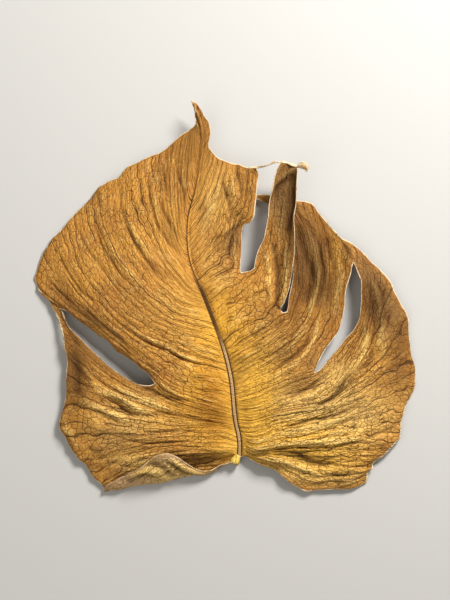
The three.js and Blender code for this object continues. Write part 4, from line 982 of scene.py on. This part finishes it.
def shape_relief(blade, sizes):
    """Quilting between the veins, drying creases, folds and dents, raised along the sheet's normals."""
    mesh = blade.data
    places, normals = read_places(mesh) / MM, read_all(mesh.vertex_normals, "vector", width=3)
    along, across, row, right = (read_values(mesh, key) for key in ("along", "across", "row", "right"))
    edge = distance_to(boundary_line(mesh), places * MM) / MM
    rib = distance_to(MIDRIB_LINE, places)

    # Side veins lie in the valleys between the arches of the quilting, where the phase is whole.
    net = np.stack((along, across, HALVES_APART * right), axis=1)
    wander = VEIN_WANDER * fractal(net, "vein_wander") + VEIN_WAVER * fractal(places, "vein_waver")
    wander *= at_least(WANDER_BY_RIB, smoothstep(*WANDER_GROWS, rib))
    phase = (across + wander) / (sizes.vein_pitch / MM)
    arch = np.abs(np.sin(math.pi * phase)) - MEAN_ARCH
    # Creases and broad ridges run along the veins, but more loosely.
    net[:, 1] += CREASE_WANDER * fractal(places, "crease_wander")
    crease = fractal(net, "crease")
    bulge = np.minimum(np.abs(crease), HIGHEST_BULGE) - MEAN_BULGE
    creased = at_least(LEAST_CREASED, spots(places, CREASED))
    ridge = fractal(net, "ridge")

    quilted = sizes.quilting / MM * arch + creased * (sizes.wrinkle * bulge + sizes.ridge * ridge) / MM
    away_from_rib = smoothstep(*RELIEF_GROWS, rib)
    at_edge = at_least(RELIEF_AT_EDGE, smoothstep(*RELIEF_GROWS_INLAND, edge))
    facing_up = np.clip(FOLD_STEEPNESS * normals[:, 2], -1, 1)
    folded = smoothstep(*FOLDS_GROW, rib) * facing_up * fold_heights(places, row)
    relief = at_edge * away_from_rib * quilted + folded
    broad = sizes.dent / MM * fractal(places, "dent") * away_from_rib
    at_margin = hump(edge, 0, RUFFLE_REACH) * smoothstep(*RUFFLE_GROWS, rib)
    ruffle = sizes.ruffle / MM * fractal(places, "ruffle") * at_margin
    groove, crest = (depth * hump(rib, *where) for depth, *where in (RIB_GROOVE, RIB_CREST))
    height = relief + broad + ruffle - (groove - crest)
    write_places(mesh, places + normals * height[:, None])
    found = {"edge": edge, "rib": rib, "relief": relief, "phase": phase, "crease": crease, "creased": creased}
    for key, values in found.items():
        write_values(mesh, key, values)


def spots(places, table):
    """How strongly soft oval spots cover each point, seen from above."""
    clear = np.ones(len(places))
    for x, y, half_x, half_y, turn, strength in table:
        angle = math.radians(turn)
        dx, dy = places[:, 0] - x, places[:, 1] - y
        right = dx * math.cos(angle) + dy * math.sin(angle)
        up = dy * math.cos(angle) - dx * math.sin(angle)
        clear *= 1 - strength * np.exp(-((right / half_x) ** 2 + (up / half_y) ** 2))
    return 1 - clear


def stain(blade):
    """Writes how pale, yellow, amber, brown, grey and corky each point of the blade is; the pale and brown
    spots also carry painted light and painted shade.
    """
    places = read_places(blade.data) / MM
    for key, table in STAINS.items():
        write_values(blade.data, key, spots(places, table))


def thicken(blade, sizes):
    """Gives the sheet its thickness, and its underside the half-round midrib."""
    mesh = blade.data
    rib, row = read_values(mesh, "rib"), read_values(mesh, "row")
    up = np.clip(row / LAST_ROW, 0, 1)
    depth = sizes.rib_at_base + (sizes.rib_at_tip - sizes.rib_at_base) * up
    width = sizes.rib_half_width / MM * (1 - RIB_NARROWS_BY * up)
    bulge = depth * np.sqrt(np.clip(1 - (rib / width) ** 2, 0, 1))
    thickest = sizes.sheet + sizes.rib_at_base
    weights = (sizes.sheet + np.where(row < 0, 0, bulge)) / thickest
    group = blade.vertex_groups.new(name="thickness")
    for k, weight in enumerate(weights):
        group.add([k], float(weight), "REPLACE")
    shell = blade.modifiers.new("thickness", "SOLIDIFY")
    shell.thickness = thickest
    shell.offset = -1
    shell.vertex_group = "thickness"
    shell.use_rim = True
    shell.material_offset = 1
    shell.material_offset_rim = 2
    bpy.ops.object.modifier_apply(modifier=shell.name)


def feed(socket, value):
    """Links an input to another node's output, or sets it. None leaves it as it is."""
    if isinstance(value, bpy.types.NodeSocket):
        socket.id_data.links.new(value, socket)
    elif value is not None:
        socket.default_value = value


def add_node(tree, kind, *values, output=None, **settings):
    """Adds a node, sets its properties and inputs, and gives the output that its reader needs.

    The values fill the node's inputs in their order. A value that is a socket is linked, and None
    leaves an input as it is. A setting that isn't a property of the node names one of its inputs.
    """
    node = tree.nodes.new("ShaderNode" + kind)
    named = {}
    for key, value in settings.items():
        if hasattr(node, key):
            setattr(node, key, value)
        else:
            named[key] = value
    inputs = [socket for socket in node.inputs if socket.enabled]
    for socket, value in zip(inputs, values):
        feed(socket, value)
    for key, value in named.items():
        feed(node.inputs[key], value)
    return node.outputs[output] if output else next(s for s in node.outputs if s.enabled)


def new_material(name):
    """A material, its shader's inputs, and the call that adds a node to it."""
    material = bpy.data.materials.new(name)
    material.use_nodes = True
    tree = material.node_tree
    return material, tree.nodes["Principled BSDF"].inputs, partial(add_node, tree)


def skin_unevenness(node, place, net):
    """Uneven growth and drying of the skin.

    The skin's real grain is 0.1 mm; grain and speckle are drawn coarser, so that they show.
    """
    uneven = {}
    # Where each is read, its size, its stretch along the veins and its detail.
    for key, source, size, stretch, detail in (
        ("broad", place, 26 * MM, 1, 4),
        ("patches", place, 7 * MM, 1, 4),
        ("speckle", place, 1.1 * MM, 1, 3),
        ("grain", place, 0.6 * MM, 1, 3),
        ("streaks", net, 1.3, 4, 4),
        ("vein_breaks", net, 7, 2.5, 2),
        ("crease_breaks", net, 8, 1.5, 2),
        ("web_breaks", place, 10 * MM, 1, 2),
    ):
        scaled = node("Mapping", source, Scale=(1 / (size * stretch), 1 / size, 1 / size))
        uneven[key] = node("TexNoise", scaled, Scale=1.0, Detail=detail)
    return uneven


def skin_cells(node, place, net, sizes):
    """The mesh of small veins, drawn out along the side veins, and an even one within it.

    A real leaf's smallest cells are 0.5 mm across; the finer mesh is drawn at 1.6 mm, as coarse as it
    needs to show.
    """
    cell = sizes.cell / MM
    along, across = WEB_CELLS
    bend = node("TexNoise", net, Scale=1 / WEB_BEND_SIZE, Detail=2.0, output="Color")
    bent = node("VectorMath", bend, WEB_BEND, net, operation="MULTIPLY_ADD")
    bent = node("Mapping", bent, Scale=(along / cell, across / cell, 1))
    web = node("TexVoronoi", bent, feature="DISTANCE_TO_EDGE", voronoi_dimensions="2D", Scale=1.0)
    fine_web = node("TexVoronoi", place, feature="DISTANCE_TO_EDGE", Scale=FINE_WEB_CELLS / sizes.cell)
    return web, fine_web


def skin_lines(node, read, uneven, web, fine_web, pitch):
    """How strongly veins, creases and the two meshes show at each point, from 0 to 1."""
    # Side veins lie in the valleys of the quilting, each with a strength of its own.
    off_vein = node("Math", read["phase"], 0.5, operation="PINGPONG")
    off_vein = node("Math", off_vein, pitch, operation="MULTIPLY")
    own = node("TexWhiteNoise", node("Math", read["phase"], operation="ROUND"), noise_dimensions="1D")
    own = node("Math", own, 0.3, uneven["vein_breaks"], operation="MULTIPLY_ADD")
    # A finer vein runs on each side of every side vein.
    off_veinlet = node("Math", read["phase"], 2.0, 0.5, operation="MULTIPLY_ADD")
    off_veinlet = node("Math", off_veinlet, 0.5, operation="PINGPONG")
    off_veinlet = node("Math", off_veinlet, 0.5 * pitch, operation="MULTIPLY")
    # Creases are the lines where the drying skin folded in; their dark lines are partly painted shade in the
    # folds.
    off_crease = node("Math", read["crease"], operation="ABSOLUTE")
    # Each kind of line is dark up to the first distance and gone at the second, and fades out in places.
    lines = {}
    for key, distance, near, far, breaks, low, high, least in (
        ("veins", off_vein, 0.08, 0.5, own, 0.5, 0.74, 0.15),
        ("veinlets", off_veinlet, 0.03, 0.32, uneven["crease_breaks"], 0.62, 0.42, 0.15),
        ("creases", off_crease, 0.01, 0.08, uneven["crease_breaks"], 0.36, 0.56, 0.1),
        ("web", web, 0.01, 0.085, uneven["web_breaks"], 0.3, 0.6, 0.4),
        ("fine_web", fine_web, 0.02, 0.16, uneven["patches"], 0.36, 0.6, 0.3),
    ):
        line = node("MapRange", distance, near, far, 1.0, 0.0, **SMOOTH)
        whole = node("MapRange", breaks, low, high, least, 1.0, **SMOOTH)
        lines[key] = node("Math", line, whole, operation="MULTIPLY")
    # Beside the midrib the skin is smoother, and only some parts of the blade are deeply creased.
    from_rib = node("MapRange", read["rib"], 4.0, 28.0, 0.45, 1.0, **SMOOTH)
    near_rib = node("MapRange", read["rib"], 12.0, 50.0, 1.0, 0.25, **SMOOTH)
    for key, share in (
        ("web", from_rib), ("fine_web", from_rib), ("veinlets", near_rib), ("creases", read["creased"]),
    ):
        lines[key] = node("Math", lines[key], share, operation="MULTIPLY")
    return lines


def skin_layers(node, read, uneven, lines, rim, face):
    """The skin's colours, painted highlights and painted shade among them, from the lowest layer up.

    Each has its colour, its source, and how strong it is at two of its source's values.
    """
    layers = [
        (face.blotches[0], uneven["broad"], *face.blotches[1:]),
        # Browner towards the edge.
        ("ochre", read["edge"], 20, 1, 0, 0.35),
        # Paler spots, part of them painted light.
        ("pale", read["paled"], 0, 1, 0, 0.8),
        ("pale", uneven["patches"], 0.52, 0.75, 0, 0.3),
        (face.beside_rib[0], read["yellowed"], 0, 1, 0, face.beside_rib[1]),
        ("amber", read["ambered"], 0, 1, 0, 0.8),
        # Painted highlight: pale on the ridges of the relief.
        ("pale", read["relief"], 0.1 * face.upward, 1.3 * face.upward, 0, 0.8),
        ("ochre", uneven["streaks"], 0.5, 0.72, 0, 0.4),
        ("pale", uneven["streaks"], 0.48, 0.28, 0, 0.3),
        ("ochre", uneven["speckle"], 0.5, 0.68, 0, 0.35),
        ("grey", read["greyed"], 0, 1, 0, 0.85),
        # Brown spots, part of them painted shade.
        ("dark", read["browned"], 0, 1, 0, face.browning),
        # Painted shade: dark in the valleys of the relief.
        ("dark", read["relief"], -0.15 * face.upward, -1.5 * face.upward, 0, 0.68 * face.lines),
        ("web", lines["fine_web"], 0, 1, 0, 0.4 * face.lines),
        ("web", lines["web"], 0, 1, 0, 0.8 * face.lines),
        ("web", lines["veinlets"], 0, 1, 0, 0.75 * face.lines),
        # Crease lines: dark in the folds, partly painted shade.
        ("vein", lines["creases"], 0, 1, 0, 0.9 * face.lines),
        ("vein", lines["veins"], 0, 1, 0, 0.75 * face.lines),
    ]
    for colour, near, far, strength, rows in face.midrib:
        share = node("MapRange", read["rib"], near, far, strength, 0.0, **SMOOTH)
        for low, high, at_low in ((rows[0], rows[1], 0.0), (rows[2], rows[3], 1.0)):
            within = node("MapRange", read["row"], low, high, at_low, 1 - at_low, **SMOOTH)
            share = node("Math", share, within, operation="MULTIPLY")
        layers.append((colour, share, 0, 1, 0, 1))
    # The rim dries pale and corky, with a browned line inland of it.
    spread = node("Math", read["corky"], 2.0, 1.0, operation="MULTIPLY_ADD")
    inland = node("Math", read["edge"], spread, operation="DIVIDE")
    inland = node("Math", uneven["patches"], RIM_UNEVENNESS, inland, operation="MULTIPLY_ADD")
    layers += [
        ("ochre", inland, rim * 1.1, rim * 2.6, 0.45, 0),
        ("rim", inland, rim * 0.85, rim * 1.15, face.rim, 0),
    ]
    return layers


def leaf_skin(name, face, colours, sizes):
    """Dry leaf skin, browned and veined, with painted highlights on its ridges and painted shade in its
    valleys: a dull, slightly waxy face that light catches on its ridges.
    """
    material, shader, node = new_material(name)
    # The net is in millimetres along and across the veins; places are in metres.
    net = node("UVMap", uv_map="veins")
    place = node("TexCoord", output="Object")
    keys = ("phase", "crease", "creased", "relief", "edge", "rib", "row", *STAINS)
    read = {key: node("Attribute", attribute_name=key, output="Fac") for key in keys}
    uneven = skin_unevenness(node, place, net)
    web, fine_web = skin_cells(node, place, net, sizes)
    lines = skin_lines(node, read, uneven, web, fine_web, sizes.vein_pitch / MM)

    base = getattr(colours, face.base)
    # Noise is half on average, so half of what it moves the rim by is added to the rim's width.
    rim = sizes.rim / MM + RIM_UNEVENNESS / 2
    for colour, source, low, high, at_low, at_high in skin_layers(node, read, uneven, lines, rim, face):
        share = node("MapRange", source, low, high, at_low, at_high, **SMOOTH)
        base = node("Mix", share, base, getattr(colours, colour), data_type="RGBA")

    # Heights and depths in millimetres. What rises on the upper face sinks in on the lower one.
    height = node("Math", uneven["grain"], 0.12, operation="MULTIPLY")
    domed = node("Math", web, read["creased"], operation="MULTIPLY")
    for depth, share in (
        (-0.3, lines["veins"]), (-0.15, lines["veinlets"]), (-0.3, lines["creases"]), (-0.2, lines["web"]),
        (-0.1, lines["fine_web"]), (0.3, uneven["streaks"]), (0.15, uneven["speckle"]), (0.7, domed),
        (0.12, fine_web),
    ):
        height = node("Math", share, face.lines * face.upward * depth, height, operation="MULTIPLY_ADD")
    for key, value in (
        ("Base Color", base),
        ("Roughness", node("MapRange", uneven["grain"], 0.3, 0.7, 0.55, 0.8)),
        ("IOR", 1.45),
        ("Specular IOR Level", 0.22),
        ("Normal", node("Bump", Strength=1.0, Distance=MM, Height=height)),
    ):
        feed(shader[key], value)
    return material


def fibrous_skin(name, light, dark, millimetres, roughness):
    """A dry, fibrous skin of two tones, with fibres of this size streaked along the leaf."""
    material, shader, node = new_material(name)
    size = millimetres * MM
    place = node("TexCoord", output="Object")
    drawn_out = node("Mapping", place, Scale=(1 / size, 0.3 / size, 1 / size))
    fibres = node("TexNoise", drawn_out, Scale=1.0, Detail=4.0)
    share = node("MapRange", fibres, 0.42, 0.68, **SMOOTH)
    for key, value in (
        ("Base Color", node("Mix", share, light, dark, data_type="RGBA")),
        ("Roughness", roughness),
        ("Specular IOR Level", 0.3),
        ("Normal", node("Bump", Strength=0.8, Distance=0.3 * MM, Height=fibres)),
    ):
        feed(shader[key], value)
    return material


def finish_piece(piece, name):
    """Leaves the piece's object at the origin, unturned and unscaled, and gives it its body."""
    piece.name = name
    select(piece)
    bpy.ops.object.transform_apply(location=True, rotation=True, scale=True)
    bpy.ops.object.shade_smooth()
    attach(piece, "root")


class LEAF_OT_blade(bpy.types.Operator):
    """Builds the blade: two halves of rows along the veins, joined at the midrib"""
    bl_idname = "leaf.blade"
    bl_label = "Blade"

    def execute(self, context):
        sizes, colours = context.scene.leaf_sizes, context.scene.leaf_colours
        deselect_all()
        # A band ends at each slit's first edge, and the next one starts at its second.
        bands = []
        for side in (LEFT, RIGHT):
            second_edges = [k for k, vein in enumerate(side.veins) if vein.slit][1::2]
            stops = [0, *second_edges, len(side.veins)]
            bands += [add_band(side, first, last) for first, last in zip(stops, stops[1:])]
        blade = join_bands(bands)
        shape_relief(blade, sizes)
        stain(blade)
        for material in (
            leaf_skin("dry_leaf_upper_skin", UPPER_FACE, colours, sizes),
            # The lower skin is duller and paler, with fainter lines.
            leaf_skin("dry_leaf_lower_skin", LOWER_FACE, colours, sizes),
            # The blade's cut edge: pale cork, browned in spots.
            fibrous_skin("dry_leaf_corky_edge", colours.rim, colours.ochre, 2, 0.8),
        ):
            blade.data.materials.append(material)
        thicken(blade, sizes)
        finish_piece(blade, "blade")
        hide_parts("leaf")
        return {"FINISHED"}


def add_strand(name, points, radius, material):
    """Two thin round strands, twisted loosely round each other along a line."""
    line = smooth_line(points, STRAND_STEPS) * MM
    curve = bpy.data.curves.new(name, "CURVE")
    curve.dimensions = "3D"
    curve.bevel_depth = radius
    curve.bevel_resolution = 2
    curve.use_fill_caps = True
    for turn in (0, math.pi):
        spline = curve.splines.new("POLY")
        spline.points.add(len(line) - 1)
        for k, (point, place) in enumerate(zip(spline.points, line)):
            angle = turn + STRAND_TURN * k
            aside = Vector((math.cos(angle), math.sin(angle), 0)) * STRAND_APART * radius
            uneven = noise.noise(Vector((STRAND_LUMPS * k, turn, len(points))))
            point.co = (*(Vector(place) + aside), 1)
            point.radius = STRAND_THICKNESS + STRAND_UNEVENNESS * uneven
    strand = bpy.data.objects.new(name, curve)
    bpy.context.collection.objects.link(strand)
    select(strand)
    bpy.ops.object.convert(target="MESH")
    strand = bpy.context.object
    strand.data.materials.clear()
    strand.data.materials.append(material)
    return strand


def add_membrane(upper, lower, material):
    """A thin skin stretched between two lines."""
    along, across = MEMBRANE_POINTS
    lines = [smooth_line(points, MEMBRANE_STEPS) for points in (upper, lower)]
    shares = np.linspace(0, 1, along)
    top, bottom = (read_table((length_shares(line), line), shares) for line in lines)
    down = np.linspace(0, 1, across)[:, None, None]
    sag = MEMBRANE_SAG * np.sin(math.pi * down) * np.array((0, 0, 1))
    bpy.ops.mesh.primitive_grid_add(x_subdivisions=along - 1, y_subdivisions=across - 1, size=1)
    skin = bpy.context.object
    write_places(skin.data, top + (bottom - top) * down + sag)
    shell = skin.modifiers.new("thickness", "SOLIDIFY")
    shell.thickness = MEMBRANE_SHEET * MM
    shell.offset = 0
    bpy.ops.object.modifier_apply(modifier=shell.name)
    skin.data.materials.append(material)
    return skin


class LEAF_OT_margin_thread(bpy.types.Operator):
    """Builds the strip of margin that still spans the big slit, and its curled end"""
    bl_idname = "leaf.margin_thread"
    bl_label = "Margin thread"

    def execute(self, context):
        sizes, colours = context.scene.leaf_sizes, context.scene.leaf_colours
        # Dried margin: a corky strand, cream where light catches it.
        cork = fibrous_skin("dried_margin_strand", colours.rim, colours.crest, 1.2, 0.75)
        finish_piece(add_strand("thread", THREAD, sizes.thread, cork), "margin_thread")
        finish_piece(add_strand("hook", HOOK, HOOK_THINNER * sizes.thread, cork), "margin_hook")
        # A scrap of thin skin, dried to a tan film, is left inside the curl.
        film = fibrous_skin("dried_margin_scrap", colours.crest, colours.rim, 1.5, 0.7)
        finish_piece(add_membrane(HOOK[:5], SCRAP_EDGE, film), "margin_scrap")
        return {"FINISHED"}


class LEAF_OT_stub(bpy.types.Operator):
    """Builds the broken stub of the leafstalk"""
    bl_idname = "leaf.stub"
    bl_label = "Leafstalk stub"

    def execute(self, context):
        sizes, colours = context.scene.leaf_sizes, context.scene.leaf_colours
        top, end = Vector(STUB_TOP) * MM, Vector(STUB_END) * MM
        length = (end - top).length
        deselect_all()
        bpy.ops.mesh.primitive_cylinder_add(
            vertices=STUB_SIDES, radius=sizes.stub, depth=length, location=(top + end) / 2
        )
        stub = bpy.context.object
        aim(stub, end - top, "Z")
        edit_whole(bpy.ops.mesh.subdivide, number_cuts=STUB_CUTS)
        narrow, wide = STUB_WIDTHS
        for vertex in stub.data.vertices:
            x, y, z = vertex.co
            along = z / length + 0.5
            width = narrow + (wide - narrow) * float(smoothstep(*STUB_WIDENS, along))
            ragged = noise.noise(Vector((x, y, 0)) / (STUB_RAGGED_SIZE * MM)) * STUB_RAGGED_HEIGHT * MM
            vertex.co = (x * width, y * width, z + ragged if along > STUB_RAGGED_FROM else z)
        # Leafstalk: still olive yellow, with browned fibres where it broke.
        stalk = fibrous_skin("dried_leafstalk", colours.stalk, colours.frayed, 1.4, 0.7)
        stub.data.materials.append(stalk)
        finish_piece(stub, "leafstalk_stub")
        return {"FINISHED"}


class LEAF_OT_settle(bpy.types.Operator):
    """Lowers the finished leaf until it rests on the floor"""
    bl_idname = "leaf.settle"
    bl_label = "Settle"

    def execute(self, context):
        pieces = [bpy.data.objects[name] for name in PIECES]
        lowest = min(read_places(piece.data)[:, 2].min() for piece in pieces)
        for piece in pieces:
            piece.data.transform(Matrix.Translation((0, 0, -lowest)))
        return {"FINISHED"}


class LEAF_OT_stage(bpy.types.Operator):
    """Builds the floor, the lights, the world and the camera"""
    bl_idname = "leaf.stage"
    bl_label = "Stage"

    def execute(self, context):
        deselect_all()
        bpy.ops.mesh.primitive_plane_add(size=20)
        floor = context.object
        floor.name = "floor"
        # Backdrop paper: matt, so that only the leaf's own shadows show on it.
        paper, shader, _ = new_material("matt_backdrop_paper")
        feed(shader["Base Color"], linear(FLOOR_COLOUR))
        feed(shader["Roughness"], 0.9)
        floor.data.materials.append(paper)

        for name, place, size, power in (
            ("key", (0.42, 0.62, 0.6), 0.3, 16),
            ("fill", (-0.55, -0.5, 0.85), 0.9, 3.3),
        ):
            bpy.ops.object.light_add(type="AREA", location=place)
            lamp = context.object
            lamp.name = name
            lamp.data.size = size
            lamp.data.energy = power
            aim(lamp, -Vector(place), "-Z")
        world = bpy.data.worlds.new("studio")
        context.scene.world = world
        world.use_nodes = True
        sky = world.node_tree.nodes["Background"].inputs
        feed(sky["Color"], (1, 0.98, 0.95, 1))
        feed(sky["Strength"], 0.3)

        bpy.ops.object.camera_add(location=(0, -1.8 * MM, 1.0), rotation=(0, 0, 0))
        camera = context.object
        camera.data.lens = 100
        camera.data.sensor_width = 36
        context.scene.camera = camera
        context.scene.view_settings.view_transform = "Standard"
        return {"FINISHED"}


OPERATORS = (LEAF_OT_stage, LEAF_OT_blade, LEAF_OT_stub, LEAF_OT_margin_thread, LEAF_OT_settle)


class LEAF_PT_panel(bpy.types.Panel):
    """Lists the leaf's sizes and colours, and the pieces to build"""
    bl_idname = "LEAF_PT_panel"
    bl_label = "Dried monstera leaf"
    bl_space_type = "VIEW_3D"
    bl_region_type = "UI"
    bl_category = "Leaf"

    def draw(self, context):
        for group in (context.scene.leaf_sizes, context.scene.leaf_colours):
            for key in group.__annotations__:
                self.layout.prop(group, key)
        for operator in OPERATORS:
            self.layout.operator(operator.bl_idname)


CLASSES = (LeafSizes, LeafColours, *OPERATORS, LEAF_PT_panel)


def register():
    for cls in CLASSES:
        bpy.utils.register_class(cls)
    bpy.types.Scene.leaf_sizes = PointerProperty(type=LeafSizes)
    bpy.types.Scene.leaf_colours = PointerProperty(type=LeafColours)


def unregister():
    del bpy.types.Scene.leaf_colours
    del bpy.types.Scene.leaf_sizes
    for cls in reversed(CLASSES):
        bpy.utils.unregister_class(cls)


def main():
    register()
    bpy.ops.leaf.stage()
    bpy.ops.leaf.blade()
    bpy.ops.leaf.stub()
    bpy.ops.leaf.margin_thread()
    bpy.ops.leaf.settle()


if __name__ == "__main__":
    main()
